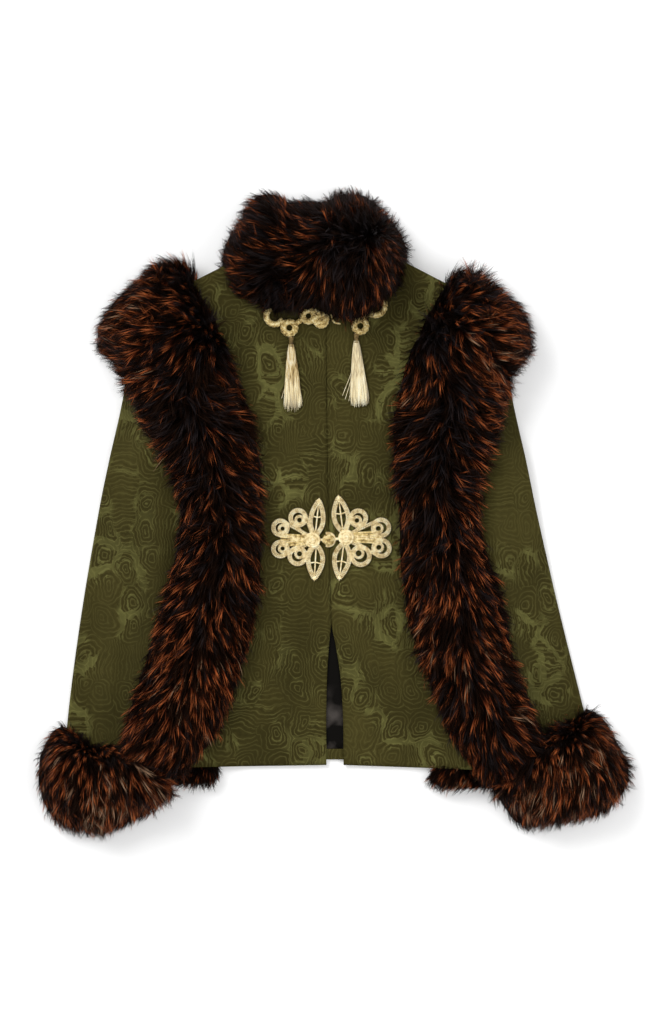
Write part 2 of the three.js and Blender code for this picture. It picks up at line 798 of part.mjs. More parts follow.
const WAIST_FROG = {
  left: {
    knot: { x: -22.5, y: -32, radius: 8.4 },
    loops: [
      { x: -38.5, y: -7.5, radius: 11.5 },
      { x: -58, y: -18.5, radius: 11 },
      { x: -58, y: -42, radius: 11 },
      { x: -39, y: -49.5, radius: 12 },
    ],
    leaves: [
      { footX: -19.5, footY: -26, tipX: -15.5, tipY: 12, half: 9.4 },
      { footX: -18.5, footY: -38, tipX: -20.5, tipY: -75, half: 10.4 },
    ],
    stem: [-58, -24],
  },
  right: {
    knot: { x: 14.5, y: -29, radius: 8.4 },
    loops: [
      { x: 28, y: -8, radius: 11.5 },
      { x: 53, y: -18.5, radius: 12 },
      { x: 53.5, y: -41, radius: 12 },
      { x: 30.5, y: -49.5, radius: 13 },
    ],
    leaves: [
      { footX: 11, footY: -22, tipX: 6, tipY: 15.5, half: 10.2 },
      { footX: 12, footY: -36, tipX: 7, tipY: -74.5, half: 10.6 },
    ],
    stem: [16, 54],
  },
};

function waistFrog(name) {
  const { knot: round, loops, leaves, stem } = WAIST_FROG[name];
  const pieces = [
    ...loops.map((loop) => doubleLoop(loop, round.x, round.y)),
    ...leaves.map(leaf),
    knot(round.x, round.y, round.radius, 6),
  ];
  for (const off of [-6.6, 0, 6.6])
    pieces.push(
      cord(
        [
          [stem[0], round.y + off * 1.1],
          [(stem[0] + stem[1]) / 2, round.y + off * 0.8],
          [stem[1], round.y + off * 0.5],
        ],
        CORD,
        { steps: 3 },
      ),
    );
  for (const loop of loops)
    pieces.push(
      cord(
        [
          [mix(loop.x, round.x, 0.42), mix(loop.y, round.y, 0.42)],
          [round.x, round.y],
        ],
        CORD,
        { steps: 1 },
      ),
    );
  return join(pieces);
}

// The knot button sits in the middle, on the left half; the right half's loop goes round it.
const BUTTON = { x: -5.4, y: -31.5, radius: 6 };
function buttonKnot() {
  return join([
    knot(BUTTON.x, BUTTON.y, BUTTON.radius, 8.5),
    cord([[BUTTON.x, BUTTON.y], [-12, -31.8], [-18, -32]], FINE_CORD, { steps: 2 }),
  ]);
}
function buttonLoop() {
  const radius = BUTTON.radius + SEAM + FINE_CORD.width / 2;
  const around = [];
  for (let turn = -105; turn <= 105; turn += 30) {
    const angle = (turn * Math.PI) / 180;
    around.push([
      BUTTON.x + radius * Math.cos(angle),
      BUTTON.y + radius * Math.sin(angle),
    ]);
  }
  return join([
    cord(around, FINE_CORD, { steps: 9 }),
    cord([[BUTTON.x + radius, -31], [8, -30], [14, -29]], FINE_CORD, { steps: 4 }),
  ]);
}

// The neck frog is a row of loops along the foot of the collar, with a tassel from each outer ring.
const NECK_FROG = {
  left: [
    { x: -61, y: 219, radius: 14.5 },
    { x: -50, y: 201.5, radius: 9.6 },
  ],
  right: [
    { x: 43, y: 225, radius: 14.5 },
    { x: 30, y: 205.5, radius: 9.6 },
  ],
  knotLoop: { x: -19, y: 215, radius: 14.4 },
  knotLoopRight: { x: 6, y: 221, radius: 10 },
};
function neckFrog(name) {
  const round = ({ x, y, radius }) => ring(x, y, radius - CORD.width / 2, CORD);
  const pieces = NECK_FROG[name].map(round);
  const [far, near] = NECK_FROG[name];
  if (name === "left") {
    const middleLoop = NECK_FROG.knotLoop;
    pieces.push(round(middleLoop), knot(-13.8, 210.5, 5.2, 4.6));
    pieces.push(
      cord([[far.x + 8, far.y + 3], [-40, 224], [middleLoop.x - 9, 221]], CORD, {
        steps: 3,
      }),
    );
    pieces.push(cord([[near.x, near.y + 7], [-53, 212]], CORD, { steps: 1 }));
  } else {
    pieces.push(round(NECK_FROG.knotLoopRight));
    pieces.push(
      cord([[far.x - 8, far.y], [26, 224], [13, 222]], CORD, { steps: 3 }),
    );
    pieces.push(cord([[near.x, near.y + 7], [36, 214]], CORD, { steps: 1 }));
  }
  return join(pieces);
}

// ---------------------------------------------------------------- tassels
const TASSEL = {
  head: { radius: 3.1, length: 10 },
  strands: 28,
  strand: { root: 0.9, end: 1.3 },
  rootSpread: 2.5,
  endHalf: 10.5,
  endThick: 3.4,
};
const TASSELS = {
  left: { x: -46, top: 191.2, footX: -44.5, foot: 113 },
  right: { x: 26.4, top: 195.2, footX: 30, foot: 117.5 },
};
function tassel(name) {
  const { x, top, footX, foot } = TASSELS[name];
  const { head, strands, strand, rootSpread, endHalf, endThick } = TASSEL;
  const lie = (px, py) => frontTop(px, py) + SEAM + 0.4 + endThick;
  const neck = top - head.length;
  const profile = [
    [0, 0],
    [head.radius * 0.8, 0],
    [head.radius, head.length * 0.2],
    [head.radius * 0.72, head.length * 0.5],
    [head.radius * 0.95, head.length * 0.8],
    [head.radius * 0.5, head.length],
    [0, head.length],
  ].map(([out, up]) => new THREE.Vector2(out, up));
  const made = new THREE.LatheGeometry(profile, 8);
  made.rotateX(Math.atan2(lie(x, top) - lie(x, neck), head.length));
  made.translate(x, neck, lie(x, neck));
  const pieces = [solidOf(made)];
  for (let i = 0; i < strands; i += 1) {
    const share = (i + 0.5) / strands;
    const angle = i * 2.39996; // the golden angle spreads them evenly over a disc
    const out = Math.sqrt(share);
    const [across, up] = [out * Math.cos(angle), out * Math.sin(angle)];
    const end = foot + 3 * Math.sin(i * 1.7);
    const line = (t) => {
      const y = mix(neck + 2, end, t);
      const spread = mix(rootSpread, endHalf, t ** 1.15);
      const px = mix(x, footX, t) + across * spread + 0.25 * Math.sin(i + 5 * t);
      return [px, y, lie(x, y) + up * mix(rootSpread, endThick, t)];
    };
    const corner = (t, s) => {
      const [px, py, pz] = line(t);
      const size = mix(strand.root, strand.end, t) / 2;
      const turn = (s * 2 * Math.PI) / 3 + i;
      return [px + size * Math.cos(turn), py, pz + size * Math.sin(turn)];
    };
    const points = [];
    const faces = [];
    const parts = 2;
    for (let j = 0; j <= parts; j += 1)
      for (let s = 0; s < 3; s += 1) points.push(...corner(j / parts, s));
    for (let j = 0; j < parts; j += 1)
      for (let s = 0; s < 3; s += 1) {
        const [a, b] = [j * 3 + s, j * 3 + ((s + 1) % 3)];
        faces.push(a, b, b + 3, a, b + 3, a + 3);
      }
    faces.push(0, 2, 1, parts * 3, parts * 3 + 1, parts * 3 + 2);
    pieces.push(solidOf(geometryOf(points, faces)));
  }
  return join(pieces);
}

// ---------------------------------------------------------------- materials and the model
const finish = (color, roughness, metalness = 0) =>
  new THREE.MeshStandardMaterial({ color, roughness, metalness });
const brocade = finish(0x4a4724, 0.62);
const satin = finish(0x26222a, 0.35);
const fur = finish(0x2a150c, 0.9);
const braid = finish(0xcdb876, 0.45, 0.35);
const silk = finish(0xe0cf9c, 0.5);

const jacket = new THREE.Group();
function add(name, solid, material) {
  const mesh = new THREE.Mesh(geometryFrom(solid), material);
  mesh.name = name;
  jacket.add(mesh);
}

add("back", slab(COLUMNS.length - 1, ROW_COUNT, backPlace, backTop, backUnder), brocade);
for (const side of SIDES) {
  add(`front_${side.name}`, frontPanel(side), brocade);
  add(`sleeve_${side.name}`, sleeveWall(side), brocade);
}

// The lining and the hem facing of the back, where the slit shows them.
function strip(from, to, { half, thick }) {
  const place = (i, row) => {
    const y = row === 0 ? from : to;
    return [middle(y) + half * (2 * i - 1), y];
  };
  const low = (x, y) => backTop(x, y) + SEAM;
  return slab(1, 1, place, (x, y) => low(x, y) + thick, low);
}
add("back_lining", strip(LINING.foot, LINING.top, LINING), satin);
add("back_hem_facing", strip(BODY.backHem, LINING.foot - SEAM, FACING), brocade);

add("collar_stand", collarStand(), brocade);
const body = bodyRoom(false);
const bodyFromFloor = bodyRoom(true);
const collar = join(COLLAR.lobes.map(collarLobe));
add("collar_fur", cut(collar, [body, ...neckRoom(), frogRoom()]), fur);

for (const side of SIDES) {
  const { name } = side;
  const room = sleeveWholeRoom(side);
  const band = cut(bandSolid(side, 0), [sleeveTopRoom(side), bodyFromFloor]);
  add(`fur_band_${name}`, band, fur);
  const grown = bandSolid(side, SEAM);
  add(`fur_under_${name}`, cut(underBand(side, 0), [room, body, grown]), fur);
  const puff = furDome(PUFF[name], 22, 4);
  add(`fur_shoulder_${name}`, cut(puff, [room, body, grown]), fur);
  const cuff = furDome(CUFF[name], 26, 4);
  const holes = [room, body, grown, underBand(side, SEAM), handRoom(side)];
  add(`fur_cuff_${name}`, cut(cuff, holes), fur);
}

add("waist_frog_left", join([waistFrog("left"), buttonKnot()]), braid);
add("waist_frog_right", join([waistFrog("right"), buttonLoop()]), braid);
for (const { name } of SIDES) {
  add(`neck_frog_${name}`, neckFrog(name), braid);
  add(`tassel_${name}`, tassel(name), silk);
}

export default jacket;
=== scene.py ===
import json
import math
import random

import bmesh
import bpy
import numpy as np
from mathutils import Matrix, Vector, noise
from mathutils.bvhtree import BVHTree

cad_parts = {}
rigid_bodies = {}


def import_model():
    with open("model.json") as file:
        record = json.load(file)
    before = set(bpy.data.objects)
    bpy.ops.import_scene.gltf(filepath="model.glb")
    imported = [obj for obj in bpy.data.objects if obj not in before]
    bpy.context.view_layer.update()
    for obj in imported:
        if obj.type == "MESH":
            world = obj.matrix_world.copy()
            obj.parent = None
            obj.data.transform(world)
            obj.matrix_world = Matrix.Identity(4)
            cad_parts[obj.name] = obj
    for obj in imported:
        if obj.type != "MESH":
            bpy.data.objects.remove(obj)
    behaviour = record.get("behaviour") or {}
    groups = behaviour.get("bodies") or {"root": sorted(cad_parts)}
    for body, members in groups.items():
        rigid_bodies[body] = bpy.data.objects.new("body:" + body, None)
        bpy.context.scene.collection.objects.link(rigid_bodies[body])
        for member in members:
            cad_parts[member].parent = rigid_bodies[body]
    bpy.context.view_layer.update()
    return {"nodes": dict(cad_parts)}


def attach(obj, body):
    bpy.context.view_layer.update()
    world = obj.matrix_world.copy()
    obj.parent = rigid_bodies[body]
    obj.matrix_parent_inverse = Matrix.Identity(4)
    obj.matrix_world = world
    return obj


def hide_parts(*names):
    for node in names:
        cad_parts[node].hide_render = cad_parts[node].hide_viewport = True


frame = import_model()
mm = 0.001
seam = 0.3 * mm
print("frame loaded")

# the camera looks straight down, with the collar at the top of the picture
cameraView = {
    "height": 6.0,
    "pixel": 1.1 * mm,
    "tall": 1024,
    "middle": (1.1 * mm, -1.1 * mm),
    "sharp": 18 * mm,
}
camera = bpy.data.objects.new("camera", bpy.data.cameras.new("camera"))
bpy.context.collection.objects.link(camera)
camera.location = (*cameraView["middle"], cameraView["height"])
camera.data.lens = (
    camera.data.sensor_width
    * (cameraView["height"] - cameraView["sharp"])
    / (cameraView["tall"] * cameraView["pixel"])
)
camera.data.clip_end = 50
bpy.context.scene.camera = camera
bpy.context.scene.view_settings.view_transform = "Standard"


def smoothCurve(rows, name):
    # a smooth curve through one column of a table whose rows have a y, everything in metres
    ys = np.array([row["y"] for row in rows]) * mm
    values = np.array([row[name] for row in rows]) * mm
    order = np.argsort(ys)
    ys, values = ys[order], values[order]
    before, after = np.maximum(np.arange(len(ys)) - 1, 0), np.minimum(np.arange(len(ys)) + 1, len(ys) - 1)
    slopes = (values[after] - values[before]) / (ys[after] - ys[before])

    def at(y):
        y = min(ys[-1], max(ys[0], y))
        i = min(len(ys) - 2, max(0, int(np.searchsorted(ys, y)) - 1))
        span = ys[i + 1] - ys[i]
        t = (y - ys[i]) / span
        bend = span * (slopes[i] * t * (1 - t) ** 2 - slopes[i + 1] * t * t * (1 - t))
        return float(values[i] + (values[i + 1] - values[i]) * t * t * (3 - 2 * t) + bend)

    return at


def ease(low, high, value):
    t = min(1, max(0, (value - low) / (high - low)))
    return t * t * (3 - 2 * t)


def mix(a, b, t):
    return a + (b - a) * t


def newObject(name, verts, faces, material=None, smooth=True):
    mesh = bpy.data.meshes.new(name)
    mesh.from_pydata([tuple(v) for v in verts], [], faces)
    mesh.update()
    if smooth:
        mesh.shade_smooth()
    if material:
        mesh.materials.append(material)
    piece = bpy.data.objects.new(name, mesh)
    bpy.context.collection.objects.link(piece)
    return piece


def faceOutward(mesh):
    turned = bmesh.new()
    turned.from_mesh(mesh)
    bmesh.ops.recalc_face_normals(turned, faces=turned.faces)
    turned.to_mesh(mesh)
    turned.free()


def plainMesh(piece):
    # the evaluated result as a plain mesh, with the modifiers gone
    depsgraph = bpy.context.evaluated_depsgraph_get()
    result = bpy.data.meshes.new_from_object(piece.evaluated_get(depsgraph))
    piece.modifiers.clear()
    piece.data = result
    return piece


def joined(name, pieces):
    bpy.ops.object.select_all(action="DESELECT")
    for piece in pieces:
        piece.select_set(True)
    bpy.context.view_layer.objects.active = pieces[0]
    bpy.ops.object.join()
    pieces[0].name = name
    return pieces[0]


def finishPiece(piece, nodes):
    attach(piece, "root")
    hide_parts(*nodes)
    return piece


def addNode(tree, kind, inputs=None, **settings):
    made = tree.nodes.new(kind)
    for key, value in settings.items():
        setattr(made, key, value)
    for key, value in (inputs or {}).items():
        if isinstance(value, bpy.types.NodeSocket):
            tree.links.new(value, made.inputs[key])
        else:
            made.inputs[key].default_value = value
    return made


def maths(tree, operation, a, b=0.0):
    return addNode(tree, "ShaderNodeMath", {0: a, 1: b}, operation=operation).outputs[0]


def objectPlace(tree):
    return addNode(tree, "ShaderNodeTexCoord").outputs["Object"]


def noiseOf(tree, place, scale, detail, output=0, **more):
    made = addNode(tree, "ShaderNodeTexNoise", {"Vector": place, "Scale": scale, "Detail": detail, **more})
    return made.outputs[output]


off, on = (0, 0, 0), (1, 1, 1)


def ramp(tree, value, stops, smooth=False):
    made = addNode(tree, "ShaderNodeValToRGB", {"Fac": value})
    made.color_ramp.interpolation = "EASE" if smooth else "LINEAR"
    while len(made.color_ramp.elements) < len(stops):
        made.color_ramp.elements.new(0.5)
    for element, (place, colour) in zip(made.color_ramp.elements, stops):
        element.position = place
        element.color = (*colour, 1)
    return made.outputs["Color"]


def blendColour(tree, amount, a, b):
    made = addNode(tree, "ShaderNodeMix", data_type="RGBA", blend_type="MIX")
    for key, value in ((0, amount), (6, a), (7, b)):
        if isinstance(value, bpy.types.NodeSocket):
            tree.links.new(value, made.inputs[key])
        else:
            made.inputs[key].default_value = value if key == 0 else (*value, 1)
    return made.outputs[2]


def newMaterial(name, **surface):
    material = bpy.data.materials.new(name)
    material.use_nodes = True
    tree = material.node_tree
    shader = tree.nodes["Principled BSDF"]
    for key, value in surface.items():
        shader.inputs[key.replace("_", " ")].default_value = value
    return material, tree, shader


def srgb(r, g, b):
    shares = [value / 255 for value in (r, g, b)]
    return tuple(share / 12.92 if share <= 10 / 255 else ((share + 0.055) / 1.055) ** 2.4 for share in shares)


def relief(tree, shader, height, strength, depth):
    bump = addNode(tree, "ShaderNodeBump", {"Height": height, "Strength": strength, "Distance": depth})
    tree.links.new(bump.outputs[0], shader.inputs["Normal"])


def newTree(name, takes, gives):
    # a geometry node group with these inputs and one output
    tree = bpy.data.node_groups.new(name, "GeometryNodeTree")
    for label, kind in takes.items():
        tree.interface.new_socket(label, in_out="INPUT", socket_type=f"NodeSocket{kind}")
    tree.interface.new_socket(gives, in_out="OUTPUT", socket_type="NodeSocketGeometry")
    return tree, tree.nodes.new("NodeGroupInput").outputs, tree.nodes.new("NodeGroupOutput")


# olive silk with contour lines round uneven cells, straight bars and small lighter branches woven in; painted
# shadow between the lines and in broad darker patches
brocade = {
    "ground": srgb(66, 60, 29),
    "shadow": srgb(48, 43, 19),
    # painted shadow colour, for the bands between the contour lines and for the sleeves' darkening
    "groove": srgb(38, 34, 14),
    "line": srgb(100, 96, 54),
    "satin": srgb(124, 123, 70),
    "cell": 26 * mm,
    "squash": 0.72,
    "lineGap": 3.5 * mm,
    "barShare": 0.34,
    "downShare": 0.17,
    "thread": 0.42 * mm,
    "grooveShade": 0.62,
    "lineShade": 0.56,
    "satinShade": 0.42,
    "threadShade": 0.14,
}


def brocadeMaterial(name, shift=0.0, paintedShade=0.0):
    material, tree, shader = newMaterial(
        name, Roughness=0.62, Specular_IOR_Level=0.12, Sheen_Weight=0.06, Sheen_Roughness=0.4
    )
    shader.inputs["Sheen Tint"].default_value = (*srgb(190, 185, 110), 1)
    shader.inputs["Specular Tint"].default_value = (*srgb(235, 228, 150), 1)
    place = objectPlace(tree)
    part = addNode(tree, "ShaderNodeSeparateXYZ", {0: place})
    x, y = part.outputs["X"], part.outputs["Y"]
    local = addNode(tree, "ShaderNodeVectorMath", {0: place, 1: (shift, 0.0, 0.0)}).outputs[0]

    def wobble(scale, amount, distortion):
        # a signed wobble in metres
        made = noiseOf(tree, local, scale, 1.0, Distortion=distortion)
        return maths(tree, "MULTIPLY", maths(tree, "SUBTRACT", made, 0.5), amount)

    wobbleX = maths(tree, "ADD", wobble(34.0, 0.022, 0.0), wobble(170.0, 0.004, 0.0))
    wobbleY = maths(tree, "ADD", wobble(28.0, 0.024, 0.3), wobble(150.0, 0.004, 0.2))
    bentX = maths(tree, "ADD", maths(tree, "ADD", x, shift), wobbleX)
    bentY = maths(tree, "MULTIPLY", maths(tree, "ADD", y, wobbleY), brocade["squash"])
    bent = addNode(tree, "ShaderNodeCombineXYZ", {0: bentX, 1: bentY, 2: 0.0}).outputs[0]
    cells = {"Vector": bent, "Scale": 1 / brocade["cell"], "Randomness": 0.8}
    nearest = addNode(
        tree,
        "ShaderNodeTexVoronoi",
        {**cells, "Exponent": 3.2},
        voronoi_dimensions="2D",
        distance="MINKOWSKI",
        feature="F1",
    )
    border = addNode(
        tree, "ShaderNodeTexVoronoi", cells, voronoi_dimensions="2D", feature="DISTANCE_TO_EDGE"
    ).outputs[0]
    # evenly spaced contour lines round every cell; each cell starts them at its own place
    own = addNode(tree, "ShaderNodeSeparateXYZ", {0: nearest.outputs["Color"]}).outputs["X"]
    away = addNode(
        tree, "ShaderNodeVectorMath", {0: bent, 1: nearest.outputs["Position"]}, operation="SUBTRACT"
    ).outputs[0]
    apart = addNode(tree, "ShaderNodeSeparateXYZ", {0: away})
    # straight bars across or down some of the cells instead
    down = maths(tree, "DIVIDE", maths(tree, "ABSOLUTE", apart.outputs["X"]), brocade["cell"])
    across = maths(tree, "DIVIDE", maths(tree, "ABSOLUTE", apart.outputs["Y"]), brocade["cell"])
    ringed = nearest.outputs["Distance"]
    ringed = blendColour(tree, maths(tree, "LESS_THAN", own, brocade["barShare"]), ringed, across)
    ringed = blendColour(tree, maths(tree, "LESS_THAN", own, brocade["downShare"]), ringed, down)
    depth = maths(tree, "MULTIPLY", ringed, brocade["cell"] / brocade["lineGap"])
    rings = maths(tree, "FRACT", maths(tree, "ADD", depth, own))
    contour = ramp(tree, rings, [(0.0, off), (0.34, off), (0.46, on), (0.54, on), (0.66, off)])
    # painted shadow: a dark band midway between the light contour lines
    groove = ramp(tree, rings, [(0.0, on), (0.2, off), (0.8, off), (0.9, on)])
    fade = noiseOf(tree, local, 21.0, 2.0)
    fade = ramp(tree, fade, [(0.4, (0.34, 0.34, 0.34)), (0.6, on)], smooth=True)
    lines = maths(tree, "MULTIPLY", contour, fade)
    grooveShadows = maths(tree, "MULTIPLY", groove, fade)
    # figures in satin: thin branches along some cell borders, and bolder strokes that follow the contours
    chosen = noiseOf(tree, local, 21.0, 1.5)
    ragged = noiseOf(tree, local, 190.0, 2.0)
    thick = maths(tree, "ADD", border, maths(tree, "MULTIPLY", maths(tree, "SUBTRACT", ragged, 0.5), 0.24))
    thick = maths(tree, "ADD", thick, maths(tree, "MULTIPLY", maths(tree, "SUBTRACT", 0.5, chosen), 0.7))
    branch = ramp(tree, thick, [(0.02, on), (0.04, off)])
    wide = maths(tree, "FRACT", maths(tree, "ADD", maths(tree, "MULTIPLY", depth, 0.42), own))
    stroke = ramp(tree, wide, [(0.3, off), (0.34, on), (0.54, on), (0.58, off)])
    stroke = maths(tree, "MULTIPLY", stroke, ramp(tree, ragged, [(0.46, off), (0.5, on)]))
    wearAndShade = noiseOf(tree, place, 8.0, 4.0, Roughness=0.6)
    area = ramp(tree, chosen, [(0.5, off), (0.58, on)])
    rubbed = ramp(tree, wearAndShade, [(0.38, (0.25, 0.25, 0.25)), (0.58, on)], smooth=True)
    area = maths(tree, "MULTIPLY", area, rubbed)
    patches = maths(tree, "MULTIPLY", maths(tree, "MAXIMUM", branch, stroke), area)
    # painted shade: broad darker patches of the shadow colour where this noise is low; the same noise wears
    # the satin figures
    even = ramp(tree, wearAndShade, [(0.35, off), (0.65, on)])
    colour = blendColour(tree, even, brocade["shadow"], brocade["ground"])
    for woven, name in ((grooveShadows, "groove"), (lines, "line"), (patches, "satin")):
        amount = maths(tree, "MULTIPLY", woven, brocade[f"{name}Shade"])
        colour = blendColour(tree, amount, colour, brocade[name])
    # painted shade: a darker copy of the brocade, mixed toward the shadow colour by this amount
    colour = blendColour(tree, paintedShade, colour, brocade["groove"])

    def threads(pitch, distortion, **way):
        waves = {"Vector": place, "Scale": pitch / brocade["thread"] / 10, "Distortion": distortion}
        return addNode(tree, "ShaderNodeTexWave", waves, **way).outputs[1]

    weave = maths(tree, "MULTIPLY", threads(0.16, 0.3), threads(0.12, 0.5, bands_direction="Y"))
    # painted shade in the gaps between the woven threads
    threadGapShade = maths(tree, "MULTIPLY", weave, brocade["threadShade"])
    colour = blendColour(tree, threadGapShade, colour, (0.012, 0.011, 0.004))
    tree.links.new(colour, shader.inputs["Base Color"])
    rough = maths(tree, "SUBTRACT", 0.64, maths(tree, "MULTIPLY", patches, 0.22))
    tree.links.new(rough, shader.inputs["Roughness"])
    raised = maths(tree, "ADD", maths(tree, "MULTIPLY", lines, 0.6), maths(tree, "MULTIPLY", patches, 0.5))
    raised = maths(tree, "ADD", raised, maths(tree, "MULTIPLY", weave, 0.25))
    relief(tree, shader, raised, 0.55, 0.5 * mm)
    return material


brocadeCloth = brocadeMaterial("oliveBrocade")
# the sleeves take the same brocade, darkened as painted shade
shadedBrocadeSleeve = brocadeMaterial("oliveBrocadeSleeve", shift=0.031, paintedShade=0.16)


def liningMaterial():
    # dark satin, painted nearly black for the shade inside the slit, with a painted pool of light towards the
    # hem
    material, tree, shader = newMaterial("liningSatin", Roughness=0.4, Specular_IOR_Level=0.05)
    place = objectPlace(tree)
    soft = noiseOf(tree, place, 30.0, 3.0)
    height = addNode(tree, "ShaderNodeSeparateXYZ", {0: place}).outputs["Y"]
    lower = addNode(tree, "ShaderNodeMapRange", {0: height, 1: -0.19, 2: -0.25, 3: 0.0, 4: 1.0}).outputs[0]
    # painted light: a lighter patch low down on the dark satin
    lit = maths(tree, "MULTIPLY", lower, ramp(tree, soft, [(0.42, off), (0.62, on)]))
    tree.links.new(blendColour(tree, lit, srgb(11, 9, 7), srgb(86, 80, 76)), shader.inputs["Base Color"])
    twill = addNode(tree, "ShaderNodeTexWave", {"Vector": place, "Scale": 380.0}, bands_direction="DIAGONAL")
    relief(tree, shader, twill.outputs[1], 0.25, 0.1 * mm)
    return material


lining = liningMaterial()

# how the layers lie: the same surfaces as the frame's panels, with softer turns
rise = {"side": 16 * mm, "sideFrom": 0.47, "neckFrom": 145 * mm, "neckSlope": 0.154}
cloth = {
    "body": 2 * mm,
    "sleeve": 1.8 * mm,
    "air": 1.7 * mm,
    "clear": 1 * mm,
    "sleeveAir": 2.4 * mm,
    "takeUp": 0.6,
    "dent": 0.9 * mm,
    "sleeveDent": 1.6 * mm,
}
fall = {"low": 0.25, "high": 0.42}
body = {
    "frontHem": -280 * mm,
    "hemSlant": {"left": -3 * mm, "right": -7 * mm},
    "backHem": -274 * mm,
    "neckShare": 0.47,
    "neckPoint": 278 * mm,
    "frontNeck": 236 * mm,
    "backNeckDrop": 8 * mm,
    "shoulderEnd": 231 * mm,
    "half": [
        {"y": -290, "half": 211},
        {"y": -200, "half": 199},
        {"y": -90, "half": 184},
        {"y": -20, "half": 184},
        {"y": 55, "half": 196},
        {"y": 95, "half": 174},
        {"y": 145, "half": 160},
        {"y": 190, "half": 161},
        {"y": 231, "half": 178},
    ],
    "edge": [
        {"y": -290, "x": -7.2, "open": 18.6},
        {"y": -225, "x": -7.4, "open": 18},
        {"y": -180, "x": -6.4, "open": 14},
        {"y": -146, "x": -4.2, "open": 6.4},
        {"y": -122, "x": -2.2, "open": 0},
        {"y": 12, "x": -5.6, "open": 0},
        {"y": 236, "x": -8.2, "open": 0},
    ],
}
sleeves = {
    "left": [
        {"y": -264, "fold": -297, "front": -190, "back": -162},
        {"y": -197, "fold": -290, "front": -165, "back": -150},
        {"y": -104, "fold": -277, "front": -138, "back": -134},
        {"y": 1, "fold": -259, "front": -122, "back": -124},
        {"y": 54, "fold": -248, "front": -128, "back": -130},
        {"y": 122, "fold": -233, "front": -158, "back": -158},
        {"y": 180, "fold": -224, "front": -160, "back": -160},
        {"y": 226, "fold": -206, "front": -158, "back": -158},
    ],
    "right": [
        {"y": -258, "fold": 287, "front": 184, "back": 152},
        {"y": -197, "fold": 272, "front": 160, "back": 142},
        {"y": -104, "fold": 249, "front": 136, "back": 128},
        {"y": 1, "fold": 225, "front": 113, "back": 114},
        {"y": 54, "fold": 214, "front": 117, "back": 119},
        {"y": 122, "fold": 199, "front": 131, "back": 131},
        {"y": 180, "fold": 190, "front": 133, "back": 133},
        {"y": 224, "fold": 175, "front": 129, "back": 129},
    ],
}
sides = {"left": -1, "right": 1}
bodyHalf = smoothCurve(body["half"], "half")
closing = smoothCurve(body["edge"], "x")
opening = smoothCurve(body["edge"], "open")
sleeveLine = {
    side: {key: smoothCurve(rows, key) for key in ("fold", "front", "back")} for side, rows in sleeves.items()
}


def middle(y):
    return 2 * mm - 0.038 * (y + 280 * mm)


def shareAt(x, y):
    return abs(x - middle(y)) / bodyHalf(y)


def backUnder(x, y):
    out = (min(1.1, shareAt(x, y)) - rise["sideFrom"]) / (1 - rise["sideFrom"])
    return rise["side"] * max(0, out) + rise["neckSlope"] * max(0, y - rise["neckFrom"])


def backTop(x, y):
    return backUnder(x, y) + cloth["body"]


def slack(x, y):
    return seam + cloth["air"] * min(1, max(0, (1 - shareAt(x, y)) / (1 - cloth["takeUp"])))


def frontTop(x, y):
    return backTop(x, y) + slack(x, y) + cloth["body"]


def bodySide(sign, y):
    return middle(y) + sign * bodyHalf(y)


def outsideBody(sign, x, y):
    return max(0, sign * (x - bodySide(sign, y)))


def sleeveLow(sign, x, y):
    return max(0, backUnder(x, y) - cloth["sleeve"] - cloth["clear"] - fall["low"] * outsideBody(sign, x, y))


def sleeveHigh(sign, x, y):
    least = sleeveLow(sign, x, y) + cloth["sleeve"] + cloth["sleeveAir"]
    return max(least, frontTop(x, y) + cloth["clear"] - fall["high"] * outsideBody(sign, x, y))


# soft uneven troughs and ridges: where each starts and ends, how wide and how deep it is
creases = {
    "body": [
        {"from": (-52, -60), "to": (-64, -276), "wide": 13, "deep": -1.3},
        {"from": (-92, 20), "to": (-104, -210), "wide": 16, "deep": 1.1},
        {"from": (58, -70), "to": (66, -280), "wide": 12, "deep": -1.2},
        {"from": (96, -10), "to": (112, -240), "wide": 17, "deep": 1.2},
        {"from": (-20, 150), "to": (-46, 20), "wide": 15, "deep": 0.8},
        {"from": (30, 170), "to": (58, 30), "wide": 14, "deep": -0.8},
        {"from": (-74, 190), "to": (-102, 120), "wide": 10, "deep": 1.0},
        {"from": (76, 196), "to": (88, 110), "wide": 10, "deep": 1.0},
        {"from": (-30, -240), "to": (-120, -262), "wide": 9, "deep": -0.7},
    ],
    "left": [
        {"from": (-204, 80), "to": (-232, -230), "wide": 9, "deep": -2.2},
        {"from": (-222, 20), "to": (-252, -250), "wide": 13, "deep": 1.5},
        {"from": (-240, 60), "to": (-268, -140), "wide": 8, "deep": -0.9},
        {"from": (-200, -40), "to": (-262, -120), "wide": 9, "deep": 0.8},
    ],
    "right": [
        {"from": (182, 90), "to": (222, -220), "wide": 9, "deep": -2.2},
        {"from": (196, 40), "to": (246, -236), "wide": 12, "deep": 1.5},
        {"from": (206, 0), "to": (252, -150), "wide": 8, "deep": -0.9},
    ],
}


def creaseAt(folds, x, y):
    total = 0
    for fold in folds:
        ax, ay = fold["from"][0] * mm, fold["from"][1] * mm
        bx, by = fold["to"][0] * mm, fold["to"][1] * mm
        length = math.hypot(bx - ax, by - ay)
        t = ((x - ax) * (bx - ax) + (y - ay) * (by - ay)) / length**2
        sway = 4 * mm * math.sin(t * 5 + ax * 60)
        off = ((x - ax) * (by - ay) - (y - ay) * (bx - ax)) / length + sway
        strength = ease(-0.15, 0.25, t) * ease(1.2, 0.75, t)
        total += fold["deep"] * mm * strength * math.exp(-((off / (fold["wide"] * mm)) ** 2))
    return total + 0.35 * mm * noise.noise(Vector((x * 14, y * 9, 0.3)))


